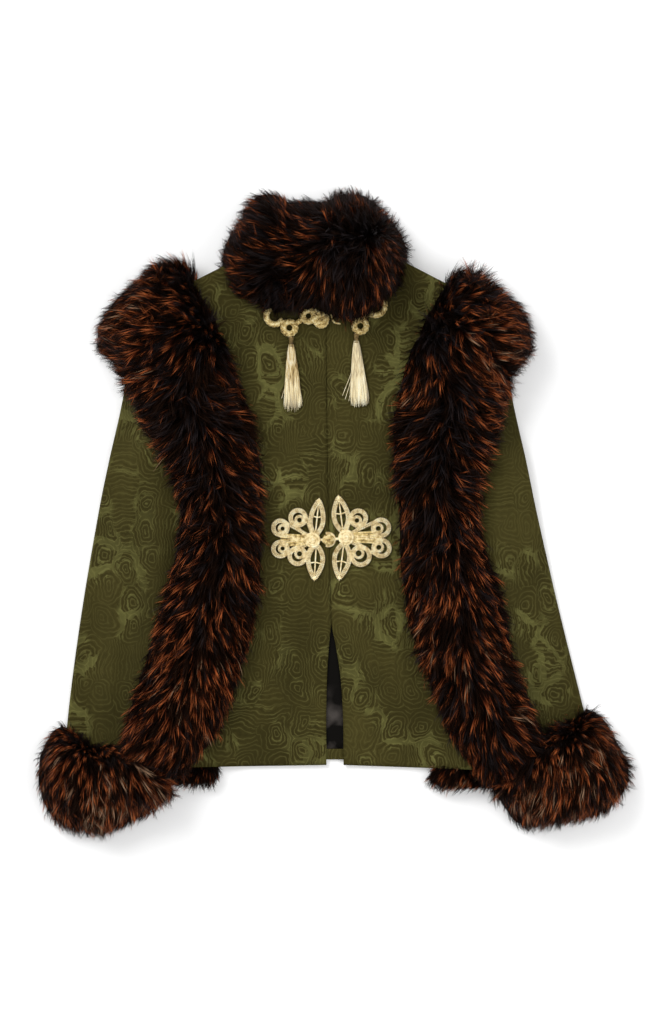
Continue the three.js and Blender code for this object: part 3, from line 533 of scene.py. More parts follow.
def shell(name, columns, rows, outer, inner, material):
    # a closed thin wall between two facing grids of points
    verts = [outer(i / columns, j / rows) for j in range(rows + 1) for i in range(columns + 1)]
    verts += [inner(i / columns, j / rows) for j in range(rows + 1) for i in range(columns + 1)]
    wide = columns + 1
    back = wide * (rows + 1)
    faces = []
    for j in range(rows):
        for i in range(columns):
            a = j * wide + i
            faces.append((a, a + 1, a + wide + 1, a + wide))
            faces.append((a + back, a + wide + back, a + wide + 1 + back, a + 1 + back))
    for i in range(columns):
        a, b = i, rows * wide + i
        faces.append((a, a + back, a + 1 + back, a + 1))
        faces.append((b, b + 1, b + 1 + back, b + back))
    for j in range(rows):
        a, b = j * wide, j * wide + columns
        faces.append((a, a + wide, a + wide + back, a + back))
        faces.append((b, b + back, b + wide + back, b + wide))
    piece = newObject(name, verts, faces, material)
    faceOutward(piece.data)
    area = sum(f.area for f in piece.data.polygons) / 2
    return piece, area


def panelTop(share, neckline):
    neck = body["neckShare"]
    if share > neck:
        return mix(body["neckPoint"], body["shoulderEnd"], (share - neck) / (1 - neck))
    return neckline(share / neck)


def backNeck(t):
    return body["neckPoint"] - body["backNeckDrop"] * (1 - t * t)


def frontNeck(t):
    return body["neckPoint"] - (body["neckPoint"] - body["frontNeck"]) * math.sqrt(max(0, 1 - t * t))


def makeBack():
    def at(height):
        def point(u, v):
            share = 2 * u - 1
            y = mix(body["backHem"], panelTop(abs(share), backNeck), v)
            x = middle(y) + bodyHalf(y) * share
            return (x, y, height(x, y))

        return point

    piece, area = shell("backPanel", 60, 80, at(backTop), at(backUnder), brocadeCloth)
    finishPiece(piece, ["back"])


def makeFront(side):
    sign = sides[side]

    def at(lift):
        def point(u, v):
            share = 1 - u
            foot = body["frontHem"] + body["hemSlant"][side] * share
            y = mix(foot, panelTop(share, frontNeck), v)
            edge = closing(y) + (0 if sign < 0 else seam + max(0, opening(y)))
            x = mix(edge, bodySide(sign, y), share)
            sewn = (slack(x, y) - seam) * ease(0.93, 1.0, v) * (1 if share > body["neckShare"] else 0)
            soft = creaseAt(creases["body"], x, y) * ease(0, 0.06, u) * ease(1.0, 0.9, v)
            return (x, y, frontTop(x, y) - lift - sewn + max(-cloth["dent"], soft))

        return point

    piece, area = shell(f"frontPanel{side.capitalize()}", 44, 104, at(0), at(cloth["body"]), brocadeCloth)
    finishPiece(piece, [f"front_{side}"])


def makeSleeve(side):
    sign = sides[side]
    line = sleeveLine[side]
    rows = sleeves[side]
    low, high = rows[0]["y"] * mm, rows[-1]["y"] * mm
    foldRoom = 4 * mm
    flatShare = 0.44

    def at(deep):
        def point(u, v):
            y = mix(low, high, v)
            turn = line["fold"](y) - sign * foldRoom
            under = sleeveLow(sign, turn, y) + deep
            over = sleeveHigh(sign, turn, y) + cloth["sleeve"] - deep
            if u <= flatShare:
                x = mix(line["back"](y), turn, u / flatShare)
                return (x, y, sleeveLow(sign, x, y) + deep)
            if u >= 1 - flatShare:
                x = mix(turn, line["front"](y), (u - 1 + flatShare) / flatShare)
                soft = creaseAt(creases[side], x, y) * ease(0, 30 * mm, abs(x - turn))
                top = sleeveHigh(sign, x, y) + cloth["sleeve"] - deep
                return (x, y, top + max(-cloth["sleeveDent"], soft))
            angle = math.pi * (u - flatShare) / (1 - 2 * flatShare)
            reach = (over - under) / 2
            return (
                turn + sign * min(reach, foldRoom - deep) * math.sin(angle),
                y,
                under + reach * (1 - math.cos(angle)),
            )

        return point

    piece, area = shell(f"capeSleeve{side.capitalize()}", 50, 70, at(0), at(cloth["sleeve"]), shadedBrocadeSleeve)
    finishPiece(piece, [f"sleeve_{side}"])


def makeLining():
    nodes = {"backLining": "back_lining", "backHemFacing": "back_hem_facing"}

    def strip(name, fromY, toY, half, thick, material):
        def at(lift):
            def point(u, v):
                y = mix(fromY, toY, v)
                x = middle(y) + half * (2 * u - 1)
                ripple = 0.25 * mm * (1 + math.sin(x * 210 + 2 * math.sin(y * 60)))
                return (x, y, backTop(x, y) + seam + (thick + ripple if lift else 0))

            return point

        piece, area = shell(name, 40, 24, at(True), at(False), material)
        finishPiece(piece, [nodes[name]])

    strip("backLining", -262 * mm, -80 * mm, 62 * mm, 0.6 * mm, lining)
    strip("backHemFacing", -274 * mm, -262.3 * mm, 96 * mm, 0.9 * mm, brocadeCloth)


def makeCollarStand():
    mesh = frame["nodes"]["collar_stand"].data.copy()
    copy = bmesh.new()
    copy.from_mesh(mesh)
    bmesh.ops.remove_doubles(copy, verts=copy.verts, dist=1e-6)
    bmesh.ops.subdivide_edges(copy, edges=copy.edges, cuts=2, use_grid_fill=True)
    area = sum(f.calc_area() for f in copy.faces) / 2
    mesh.clear_geometry()
    copy.to_mesh(mesh)
    copy.free()
    mesh.materials.clear()
    mesh.materials.append(brocadeCloth)
    piece = bpy.data.objects.new("collarStand", mesh)
    bpy.context.collection.objects.link(piece)
    finishPiece(piece, ["collar_stand"])


makeBack()
makeLining()
for side in sides:
    makeFront(side)
    makeSleeve(side)
makeCollarStand()
print("cloth laid out")

# a dark pelt inside each of the frame's fur solids, and tufts of hair that reach out to its surface
tuft = {
    "length": 29 * mm,
    "strands": 9,
    "bent": (2, 5),
    "spread": 2.2 * mm,
    "width": 0.86 * mm,
    "bend": 0.46,
    "kinds": 6,
    "unruly": 0.36,
    "quickShare": 0.35,
}
peltWork = {"voxel": 6.5 * mm, "thinVoxel": 5 * mm, "thin": 10, "join": 22 * mm, "joined": 0.12}
# heights in mm: hair bends along the table below the first and bends over above the second
hairHeight = {"low": 2, "lowRun": 3, "lowRoom": 1.7, "tall": 94, "tallRoom": 11}
furShade = {
    "root": srgb(3, 2, 2),
    "dark": srgb(8, 4, 2),
    "darkTip": srgb(20, 10, 6),
    "rustFoot": srgb(26, 10, 6),
    "rust": srgb(106, 48, 24),
    "rustBright": srgb(188, 102, 56),
    "rustTip": srgb(92, 50, 34),
    "tanFoot": srgb(60, 36, 24),
    "tan": srgb(178, 142, 112),
    "tanTip": srgb(110, 88, 72),
    # painted sheen: the grey-blue hairs
    "greySheenFoot": srgb(20, 19, 21),
    "greySheen": srgb(40, 36, 38),
    "greySheenTip": srgb(34, 32, 35),
}
# in mm: "from" is where hair parts, as x, y, z and weight, and "pull" adds a common lean; "full" keeps the
# pelt out round a place and "push" moves it, as x, y, radius and then the share or the shift
usualFur = {"inset": 15, "rust": -0.08, "length": 1.12, "lift": 0.5, "pull": (0, 0, 0)}
puffLeft = [(-138, 206, 10, 1.0)]
puffRight = [(116, 208, 10, 1.0)]
furPieces = {
    "furCollar": {
        **usualFur,
        "node": "collar_fur",
        "inset": 17,
        "tufts": 5050,
        "rust": -0.16,
        "lift": 0.62,
        "from": [(22, 286, 40, 1.5), (-66, 250, 34, 0.22)],
        "pull": (0, -0.06, 0),
        "full": [(-8, 280, 26, 0.7), (-118, 310, 40, 1.6), (78, 330, 36, 1.4), (26, 350, 20, 1.2)],
        "push": [(-34, 248, 22, 0, -8), (70, 338, 28, -5, -5), (-112, 326, 24, 6, -5),
                 (-116, 264, 42, -7, 0)],
        "foot": [(-120, 250), (-78, 230), (-66, 221), (-58, 209), (-38, 209), (-32, 219), (-4, 221), (3, 207),
                 (20, 207), (24, 214), (36, 218), (50, 226), (58, 237), (74, 243), (85, 256), (110, 272)],
    },
    "furBandLeft": {
        **usualFur,
        "node": "fur_band_left",
        "tufts": 6450,
        "from": puffLeft,
        "midline": [(258, -172), (216, -166), (177, -158), (139, -160), (106, -153), (73, -140), (34, -126),
                    (-10, -124), (-98, -135), (-186, -158), (-263, -187), (-292, -200)],
        "parts": (130, 190),
        "down": (0.05, 0.95),
        "beside": "fur_shoulder_left",
    },
    "furBandRight": {
        **usualFur,
        "node": "fur_band_right",
        "tufts": 6450,
        "from": puffRight,
        "midline": [(258, 143), (216, 138), (177, 130), (139, 131), (106, 128), (73, 121), (34, 115),
                    (-10, 117), (-98, 134), (-186, 155), (-263, 186), (-296, 204)],
        "parts": (120, 180),
        "down": (0.05, 0.95),
        "beside": "fur_shoulder_right",
    },
    "furShoulderLeft": {
        **usualFur,
        "node": "fur_shoulder_left",
        "tufts": 2700,
        "lift": 0.52,
        "from": puffLeft,
        "pull": (-0.2, 0, 0),
        "push": [(-242, 160, 20, 6, 3)],
        "beside": "fur_band_left",
    },
    "furShoulderRight": {
        **usualFur,
        "node": "fur_shoulder_right",
        "tufts": 2400,
        "lift": 0.52,
        "from": puffRight,
        "pull": (0.15, 0.05, 0),
        "push": [(167, 262, 26, -4, -8), (206, 146, 22, -6, 4)],
        "beside": "fur_band_right",
    },
    "furCuffLeft": {
        **usualFur,
        "node": "fur_cuff_left",
        "tufts": 2900,
        "rust": 0.02,
        "length": 1.1,
        "from": [(-252, -232, 16, 1.0)],
        "pull": (0, -0.3, 0),
        "push": [(-310, -318, 40, -4, -4), (-196, -316, 22, 6, -6), (-160, -288, 16, -12, 2)],
        "beside": "fur_band_left",
    },
    "furCuffRight": {
        **usualFur,
        "node": "fur_cuff_right",
        "tufts": 2900,
        "rust": -0.03,
        "length": 1.1,
        "from": [(250, -220, 16, 1.0)],
        "pull": (0, -0.3, 0),
        "push": [(212, -338, 25, -4, -6), (322, -297, 30, 4, -2), (293, -338, 25, 2, -4),
                 (158, -300, 16, 12, 2)],
        "beside": "fur_band_right",
    },
    "furUnderLeft": {
        "node": "fur_under_left",
        "inset": 4,
        "tufts": 500,
        "rust": -0.1,
        "length": 0.6,
        "lift": 0.3,
        "from": [(-140, -230, 10, 1.0)],
        "pull": (0, -0.6, 0),
        "onlyBelow": -268,
    },
    "furUnderRight": {
        "node": "fur_under_right",
        "inset": 4,
        "tufts": 500,
        "rust": -0.1,
        "length": 0.6,
        "lift": 0.3,
        "from": [(150, -230, 10, 1.0)],
        "pull": (-0.35, -0.5, 0),
        "push": [(108, -280, 16, -10, -3), (112, -290, 22, -6, -4)],
        "onlyBelow": -268,
    },
}


def furMaterial():
    # dark hair from root to tip, with rust hairs, grey-blue hairs that stand for a painted sheen, and a few
    # pale hairs, told apart by their tone
    material, tree, shader = newMaterial("darkFur", Roughness=0.5, Specular_IOR_Level=0.09)
    shader.inputs["Specular Tint"].default_value = (*srgb(255, 180, 140), 1)
    spot = addNode(tree, "ShaderNodeUVMap", uv_map="strandUV")
    part = addNode(tree, "ShaderNodeSeparateXYZ", {0: spot.outputs[0]})
    tone, along = part.outputs["X"], part.outputs["Y"]

    def hair(*stops):
        return ramp(tree, along, [(place, furShade[name]) for place, name in ((0.0, "root"), *stops)])

    dark = hair((0.4, "dark"), (0.82, "darkTip"), (1.0, "dark"))
    rust = hair((0.34, "rustFoot"), (0.54, "rust"), (0.76, "rustBright"), (0.92, "rustTip"))
    greySheen = hair((0.5, "greySheenFoot"), (0.85, "greySheen"), (1.0, "greySheenTip"))
    pale = hair((0.4, "tanFoot"), (0.8, "tan"), (1.0, "tanTip"))
    colour = blendColour(tree, ramp(tree, tone, [(0.05, on), (0.18, off)]), dark, greySheen)
    rusty = ramp(tree, tone, [(0.7, off), (0.76, (0.6, 0.6, 0.6)), (0.86, on)])
    colour = blendColour(tree, rusty, colour, rust)
    colour = blendColour(tree, ramp(tree, tone, [(0.98, off), (0.992, on)]), colour, pale)
    tree.links.new(colour, shader.inputs["Base Color"])
    return material


darkFur = furMaterial()


def makeTufts():
    # a few kinds of pointed lock: thin tapering strands that lean together at the tip
    lots = bpy.data.collections.new("furLocks")
    bpy.context.scene.collection.children.link(lots)
    chance = random.Random(11)
    for kind in range(tuft["kinds"]):
        verts, faces, uvs = [], [], []
        for s in range(tuft["strands"]):
            if s < tuft["bent"][0]:
                steps = [0.0, 0.38, 0.74, 1.0]
            elif s < tuft["bent"][1]:
                steps = [0.0, 0.55, 1.0]
            else:
                steps = [0.0, 1.0]
            turn = s * 2.4 + kind
            reach = tuft["spread"] * math.sqrt((s + 0.4) / tuft["strands"])
            length = tuft["length"] * chance.uniform(*((0.66, 1.08) if len(steps) > 2 else (0.5, 0.85)))
            tone = chance.random()
            facing = chance.uniform(0, math.pi)
            stray = chance.uniform(0.15, 0.6) if s else 0.1
            first = len(verts)
            for t in steps:
                gather = mix(1, stray, t)
                lean = tuft["bend"] * t * t
                x = reach * math.cos(turn) * gather + length * lean
                y = reach * math.sin(turn) * gather + length * 0.12 * math.sin(turn * 3) * t * t
                z = length * (t - 0.32 * lean)
                half = tuft["width"] / 2 * (1 - t) ** 0.6 * (0.7 + 0.3 * t)
                if t == 1:
                    verts.append((x, y, z))
                else:
                    verts.append((x - half * math.cos(facing), y - half * math.sin(facing), z))
                    verts.append((x + half * math.cos(facing), y + half * math.sin(facing), z))
            for k in range(len(steps) - 2):
                a = first + 2 * k
                faces.append((a, a + 1, a + 3, a + 2))
                uvs += [(tone, steps[k]), (tone, steps[k]), (tone, steps[k + 1]), (tone, steps[k + 1])]
            a = first + 2 * (len(steps) - 2)
            faces.append((a, a + 1, a + 2))
            uvs += [(tone, steps[-2]), (tone, steps[-2]), (tone, 1.0)]
        lock = newObject(f"furLock{kind}", verts, faces, darkFur)
        layer = lock.data.uv_layers.new(name="lockUV")
        layer.data.foreach_set("uv", np.array(uvs, dtype=np.float32).ravel())
        bpy.context.collection.objects.unlink(lock)
        lots.objects.link(lock)
    return lots


def furTree():
    takes = {
        "Pelt": "Geometry",
        "Locks": "Collection",
        "Fur": "Material",
        "Density": "Float",
        "Length": "Float",
        "Lift": "Float",
        "Unruly": "Float",
        "Rust": "Float",
        "Seed": "Int",
    }
    tree, given, out = newTree("furOnPelt", takes, "Fur")

    def attribute(name, kind):
        return addNode(tree, "GeometryNodeInputNamedAttribute", {"Name": name}, data_type=kind).outputs[0]

    def vector(operation, a, b):
        made = addNode(tree, "ShaderNodeVectorMath", operation=operation)
        tree.links.new(a, made.inputs[0])
        index = 3 if operation == "SCALE" else 1
        if isinstance(b, bpy.types.NodeSocket):
            tree.links.new(b, made.inputs[index])
        else:
            made.inputs[index].default_value = b
        return made.outputs[0]

    hairy = attribute("hairy", "FLOAT")
    density = maths(tree, "MULTIPLY", given["Density"], hairy)
    spread = addNode(
        tree,
        "GeometryNodeDistributePointsOnFaces",
        {"Mesh": given["Pelt"], "Density": density, "Seed": given["Seed"]},
        distribute_method="RANDOM",
    )
    comb = attribute("comb", "FLOAT_VECTOR")
    def chance(low, high, seed):
        made = addNode(tree, "FunctionNodeRandomValue", {2: low, 3: high, "Seed": seed}, data_type="FLOAT")
        return made.outputs[1]

    anyWay = addNode(
        tree,
        "FunctionNodeRandomValue",
        {0: (-1, -1, -1), 1: (1, 1, 1), "Seed": given["Seed"]},
        data_type="FLOAT_VECTOR",
    ).outputs[0]
    place = tree.nodes.new("GeometryNodeInputPosition").outputs[0]
    swirl = noiseOf(tree, place, 26.0, 1.0, output=1)
    swirl = vector("SCALE", vector("SUBTRACT", swirl, (0.5, 0.5, 0.5)), 1.7)
    wild = vector("SCALE", anyWay, given["Unruly"])
    lay = vector("ADD", vector("ADD", comb, swirl), wild)
    root = vector("ADD", vector("SCALE", spread.outputs["Normal"], given["Lift"]), vector("SCALE", lay, 0.62))
    turn = addNode(
        tree, "FunctionNodeAxesToRotation", {0: root, 1: lay}, primary_axis="Z", secondary_axis="X"
    ).outputs[0]
    length = maths(tree, "MULTIPLY", given["Length"], attribute("short", "FLOAT"))
    size = maths(tree, "MULTIPLY", chance(0.72, 1.18, 3), length)
    locks = addNode(
        tree,
        "GeometryNodeCollectionInfo",
        {"Collection": given["Locks"], "Separate Children": True, "Reset Children": True},
    ).outputs[0]
    points = spread.outputs["Points"]
    put = addNode(
        tree,
        "GeometryNodeInstanceOnPoints",
        {"Points": points, "Instance": locks, "Pick Instance": True, "Rotation": turn, "Scale": size},
    ).outputs[0]
    patch = noiseOf(tree, place, 22.0, 1.0)
    patchy = maths(tree, "MULTIPLY", maths(tree, "SUBTRACT", patch, 0.5), 0.5)
    tone = maths(tree, "ADD", chance(0.0, 1.0, 17), patchy)
    tone = maths(tree, "ADD", tone, given["Rust"])
    # darker where the hair stands up and parts
    laid = addNode(tree, "ShaderNodeVectorMath", {0: comb}, operation="LENGTH").outputs["Value"]
    tone = maths(tree, "ADD", tone, maths(tree, "MULTIPLY", maths(tree, "SUBTRACT", laid, 0.85), 0.3))
    toned = addNode(
        tree,
        "GeometryNodeStoreNamedAttribute",
        {"Geometry": put, "Name": "tone", "Value": tone},
        data_type="FLOAT",
        domain="INSTANCE",
    ).outputs[0]
    real = addNode(tree, "GeometryNodeRealizeInstances", {"Geometry": toned}).outputs[0]
    both = addNode(tree, "GeometryNodeJoinGeometry")
    tree.links.new(real, both.inputs[0])
    tree.links.new(given["Pelt"], both.inputs[0])
    furry = addNode(tree, "GeometryNodeSetMaterial", {"Geometry": both.outputs[0], "Material": given["Fur"]})
    tree.links.new(furry.outputs[0], out.inputs[0])
    return tree


def solidSearch(name):
    # for finding how near one of the frame's solids is
    mesh = frame["nodes"][name].data
    return BVHTree.FromPolygons([v.co for v in mesh.vertices], [tuple(f.vertices) for f in mesh.polygons])


def nearTo(spots, x, y, radius):
    # 1 at a place, falling off within about the radius
    return np.exp(-((np.hypot(spots[:, 0] - x * mm, spots[:, 1] - y * mm) / (radius * mm)) ** 2))


def footAt(settings, x):
    # the line that a pelt's lower rim keeps above
    footX, footY = np.array(settings["foot"]).T * mm
    return np.interp(x, footX, footY)


def peltFrom(settings, voxel):
    # the solid's form, evened out and drawn in by the depth of the hair
    mesh = frame["nodes"][settings["node"]].data.copy()
    copy = bmesh.new()
    copy.from_mesh(mesh)
    bmesh.ops.remove_doubles(copy, verts=copy.verts, dist=1e-6)
    copy.to_mesh(mesh)
    copy.free()
    pelt = bpy.data.objects.new("pelt", mesh)
    bpy.context.collection.objects.link(pelt)
    evened = pelt.modifiers.new("even", "REMESH")
    evened.mode, evened.voxel_size, evened.use_smooth_shade = "VOXEL", voxel, True
    soften = pelt.modifiers.new("soften", "SMOOTH")
    soften.iterations, soften.factor = 8, 0.5
    plainMesh(pelt)
    count = len(pelt.data.vertices)
    spots, normals = np.empty(count * 3), np.empty(count * 3)
    pelt.data.vertices.foreach_get("co", spots)
    pelt.data.vertices.foreach_get("normal", normals)
    spots, normals = spots.reshape(-1, 3), normals.reshape(-1, 3)
    inset = settings["inset"] * mm * np.clip((normals[:, 2] + 0.95) / 0.7, 0, 1)
    inset *= 0.57 + 0.43 * np.clip(normals[:, 2] * 1.2, 0, 1)
    if "beside" in settings:
        # two furs that meet hide the join between them
        other = solidSearch(settings["beside"])
        far = np.array([other.find_nearest(Vector(p))[3] for p in spots])
        inset *= np.clip(far / peltWork["join"], peltWork["joined"], 1)
    for x, y, radius, share in settings.get("full", []):
        inset *= 1 - (1 - share) * nearTo(spots, x, y, radius)
    spots -= normals * inset[:, None]
    for x, y, radius, dx, dy in settings.get("push", []):
        spots[:, :2] += nearTo(spots, x, y, radius)[:, None] * np.array([dx, dy]) * mm
    if "foot" in settings:
        spots[:, 1] = np.maximum(spots[:, 1], footAt(settings, spots[:, 0]))
    spots[:, 2] = np.maximum(spots[:, 2], 0.2 * mm)
    pelt.data.vertices.foreach_set("co", spots.ravel())
    pelt.data.update()
    return pelt, spots, normals


def combOf(settings, spots, normals):
    # which way the hair lies at each place; it stands up where it parts
    lay = np.zeros_like(spots)
    nearest = np.full(len(spots), 1e3)
    for x, y, z, weight in settings["from"]:
        away = spots - np.array([x, y, z]) * mm
        far = np.linalg.norm(away, axis=1) + 1e-5
        lay += (weight / far**3)[:, None] * away
        nearest = np.minimum(nearest, np.hypot(away[:, 0], away[:, 1]))
    lay /= np.linalg.norm(lay, axis=1)[:, None] + 1e-9
    lay += np.array(settings["pull"])
    strong = np.clip(nearest / (34 * mm), 0.05, 1)
    if "midline" in settings:
        ys = np.array([row[0] for row in settings["midline"]])[::-1] * mm
        xs = np.array([row[1] for row in settings["midline"]])[::-1] * mm
        centre = np.interp(spots[:, 1], ys, xs)
        ahead = np.interp(spots[:, 1] - 0.02, ys, xs)
        share = np.clip((spots[:, 0] - centre) / 0.04, -1.4, 1.4)
        top, bottom = settings["down"]
        down = top + (bottom - top) * np.clip((0.17 - spots[:, 1]) / 0.3, 0, 1)
        run = np.stack([share + (ahead - centre) / 0.02 * down, -down, 0 * share], axis=1)
        pace = np.clip(np.linalg.norm(run, axis=1), 0, 1)
        run /= np.linalg.norm(run, axis=1)[:, None] + 1e-9
        low, high = settings["parts"]
        upper = np.clip((spots[:, 1] / mm - low) / (high - low), 0, 1)
        lay = lay * upper[:, None] + run * (1 - upper)[:, None]
        strong = strong * upper + pace * (1 - upper)
    lay -= normals * np.sum(lay * normals, axis=1)[:, None] * 0.9
    return lay / (np.linalg.norm(lay, axis=1)[:, None] + 1e-9) * strong[:, None]


def setInputs(modifier, tree, values):
    for item in tree.interface.items_tree:
        if item.in_out == "INPUT" and item.name in values:
            modifier[item.identifier] = values[item.name]


def strandCoordinates(mesh):
    # one map for the finish: across it the hair's tone, along it the place from root to tip
    corners = np.empty(len(mesh.loops), dtype=np.int32)
    mesh.loops.foreach_get("vertex_index", corners)
    tones = np.zeros(len(mesh.vertices), dtype=np.float32)
    mesh.attributes["tone"].data.foreach_get("value", tones)
    uv = np.zeros(len(mesh.loops) * 2, dtype=np.float32)
    mesh.uv_layers["lockUV"].data.foreach_get("uv", uv)
    uv = uv.reshape(-1, 2)
    own = uv[:, 0] * 0.12 - 0.06
    uv[:, 0] = np.where(uv[:, 1] + uv[:, 0] > 0, np.clip(tones[corners] + own, 0.002, 0.998), 0.3)
    uv[:, 1] = np.clip(uv[:, 1], 0.002, 0.998)
    for name in [layer.name for layer in mesh.uv_layers]:
        mesh.uv_layers.remove(mesh.uv_layers[name])
    for name in ("strandUV", "OFBake"):
        mesh.uv_layers.new(name=name).data.foreach_set("uv", uv.ravel())
    for name in ("tone", "comb", "hairy", "short"):
        if name in mesh.attributes:
            mesh.attributes.remove(mesh.attributes[name])


def restOnFloor(mesh):
    # hair that would go into the table lies along it, and the tallest hair bends over
    spots = np.empty(len(mesh.vertices) * 3, dtype=np.float32)
    mesh.vertices.foreach_get("co", spots)
    heights = spots[2::3]
    floorAt, topAt = hairHeight["low"], hairHeight["tall"]
    low = heights < floorAt * mm
    sunk = np.tanh((heights[low] / mm - floorAt) / hairHeight["lowRun"])
    heights[low] = (floorAt + sunk * hairHeight["lowRoom"]) * mm
    tall = heights > topAt * mm
    over = np.tanh((heights[tall] / mm - topAt) / hairHeight["tallRoom"])
    heights[tall] = (topAt + over * hairHeight["tallRoom"]) * mm
    mesh.vertices.foreach_set("co", spots)


def makeFur():
    locks, tree = makeTufts(), furTree()
    for seed, (name, settings) in enumerate(furPieces.items()):
        voxel = peltWork["voxel"] if settings["inset"] > peltWork["thin"] else peltWork["thinVoxel"]
        pelt, spots, normals = peltFrom(settings, voxel)
        hairy = np.clip((normals[:, 2] + 0.6) / 0.5, 0, 1) * (1 + 0.7 * np.clip(0.7 - normals[:, 2], 0, 0.7))
        if "onlyBelow" in settings:
            hairy *= spots[:, 1] < settings["onlyBelow"] * mm
        comb = combOf(settings, spots, normals)
        # more, shorter and straighter hair at the sides, for a dense edge
        steep = np.clip((0.7 - normals[:, 2]) / 0.7, 0, 1)
        comb *= 1 - 0.4 * steep[:, None]
        pelt.data.attributes.new("comb", "FLOAT_VECTOR", "POINT").data.foreach_set("vector", comb.ravel())
        pelt.data.attributes.new("hairy", "FLOAT", "POINT").data.foreach_set("value", hairy)
        short = 1 - 0.5 * steep
        if "foot" in settings:
            above = (spots[:, 1] - footAt(settings, spots[:, 0])) / 0.03
            short = np.maximum(0.5, short * np.clip(0.6 + above * 0.4, 0.6, 1))
        pelt.data.attributes.new("short", "FLOAT", "POINT").data.foreach_set("value", short)
        area = sum(f.area * np.mean([hairy[v] for v in f.vertices]) for f in pelt.data.polygons)
        grow = pelt.modifiers.new("fur", "NODES")
        grow.node_group = tree
        count = settings["tufts"] * 1
        setInputs(
            grow,
            tree,
            {
                "Locks": locks,
                "Fur": darkFur,
                "Density": count / area,
                "Length": settings["length"],
                "Lift": settings["lift"],
                "Unruly": tuft["unruly"],
                "Rust": settings["rust"],
                "Seed": seed + 1,
            },
        )
        plainMesh(pelt)
        pelt.name = name
        restOnFloor(pelt.data)
        strandCoordinates(pelt.data)
        finishPiece(pelt, [settings["node"]])
        print(name, "faces", len(pelt.data.polygons), "pelt area", round(area, 4))
    for lock in list(locks.objects):
        bpy.data.objects.remove(lock)
    bpy.data.collections.remove(locks)


makeFur()
print("fur grown")

# flat gold braid with plaited stitches, coiled knots and a knot button
braid = {
    "wide": 5.7 * mm,
    "high": 3.0 * mm,
    "fineWide": 3.4 * mm,
    "fineHigh": 2.7 * mm,
    "legWide": 4.4 * mm,
    "legHigh": 2.6 * mm,
    "leafWide": 5.8 * mm,
    "pitch": 1.95 * mm,
    "slant": 0.75,
}
waistFrog = {
    "left": {
        "knot": (-22.5, -32, 8.2),
        "loops": [(-38.5, -7.5, 11.3), (-58, -18.5, 10.8), (-58, -42, 10.8), (-39, -49.5, 11.8)],
        "leaves": [((-19.5, -26), (-15.5, 12), 9.4), ((-18.5, -38), (-20.5, -75), 10.4)],
        "stem": -58,
    },
    "right": {
        "knot": (14.5, -29, 8.2),
        "loops": [(28, -8, 11.3), (53, -18.5, 11.8), (53.5, -41, 11.8), (30.5, -49.5, 12.8)],
        "leaves": [((11, -22), (6, 15.5), 10.2), ((12, -36), (7, -74.5), 10.6)],
        "stem": 54,
    },
}
button = {
    "at": (-5.4, -31.5),
    "radius": 5.9,
    "ball": 5.0,
    "middle": 4.5,
    "flat": 0.82,
    "cord": 1.55,
    "points": 220,
}


def lie(x, y):
    # where a trim rests on the front
    return frontTop(x, y) + max(-cloth["dent"], creaseAt(creases["body"], x, y)) + seam


def onFront(x, y, up):
    # a point given in mm, a little above the front
    return (x * mm, y * mm, lie(x * mm, y * mm) + up * mm)


def braidMaterial(name, light, mid, dark, **surface):
    material, tree, shader = newMaterial(name, **surface)
    place = objectPlace(tree)
    soft = noiseOf(tree, place, 240.0, 2.0)
    fine = noiseOf(tree, place, 1600.0, 1.0)
    mixed = maths(tree, "ADD", maths(tree, "MULTIPLY", soft, 0.6), maths(tree, "MULTIPLY", fine, 0.4))
    tree.links.new(ramp(tree, mixed, [(0.36, dark), (0.5, mid), (0.64, light)]), shader.inputs["Base Color"])
    relief(tree, shader, fine, 0.4, 0.2 * mm)
    return material


goldBraid = braidMaterial(
    "goldBraid",
    srgb(255, 250, 218),
    srgb(253, 233, 180),
    srgb(190, 161, 98),
    Roughness=0.4,
    Metallic=0.08,
    Sheen_Weight=0.1,
)
# painted shade: a darker gold for the braid's ground, seen between the stitches; the tassels' winding takes
# it too
braidGround = braidMaterial(
    "braidGround",
    srgb(156, 130, 76),
    srgb(112, 90, 46),
    srgb(66, 50, 24),
    Roughness=0.55,
    Metallic=0.08,
    Sheen_Weight=0.05,
)
goldCord = braidMaterial(
    "goldCord",
    srgb(255, 240, 186),
    srgb(212, 183, 110),
    srgb(104, 78, 32),
    Roughness=0.42,
    Metallic=0.08,
    Sheen_Weight=0.1,
)


def silkMaterial():
    # fine streaks along the threads, which hang nearly straight
    material, tree, shader = newMaterial(
        "tasselSilk", Roughness=0.36, Specular_IOR_Level=0.4, Sheen_Weight=0.1
    )
    place = objectPlace(tree)
    drawn = {0: place, 1: (1.0, 0.05, 1.0)}
    along = addNode(tree, "ShaderNodeVectorMath", drawn, operation="MULTIPLY").outputs[0]
    streak = noiseOf(tree, along, 620.0, 2.0)
    broad = noiseOf(tree, along, 150.0, 1.0)
    mixed = maths(tree, "ADD", maths(tree, "MULTIPLY", streak, 0.6), maths(tree, "MULTIPLY", broad, 0.4))
    deep, mid, bright, pale = srgb(112, 86, 42), srgb(206, 180, 122), srgb(250, 234, 188), srgb(255, 250, 226)
    shades = ramp(tree, mixed, [(0.38, deep), (0.46, mid), (0.53, bright), (0.62, pale)])
    parts = addNode(tree, "ShaderNodeSeparateXYZ", {0: place}).outputs

    def within(value, start, stop, most):
        return addNode(tree, "ShaderNodeMapRange", {0: value, 1: start, 2: stop, 3: 0.0, 4: most}).outputs[0]

    colour = blendColour(tree, within(parts["Y"], 0.118, 0.2, 0.5), shades, srgb(160, 128, 66))
    # painted highlight: the ends are lighter; and the right tassel is the paler one
    ends, right = within(parts["Y"], 0.15, 0.118, 0.45), within(parts["X"], -0.005, 0.005, 0.4)
    colour = blendColour(tree, maths(tree, "MAXIMUM", ends, right), colour, srgb(255, 246, 212))
    tree.links.new(colour, shader.inputs["Base Color"])
    return material


tasselSilk = silkMaterial()


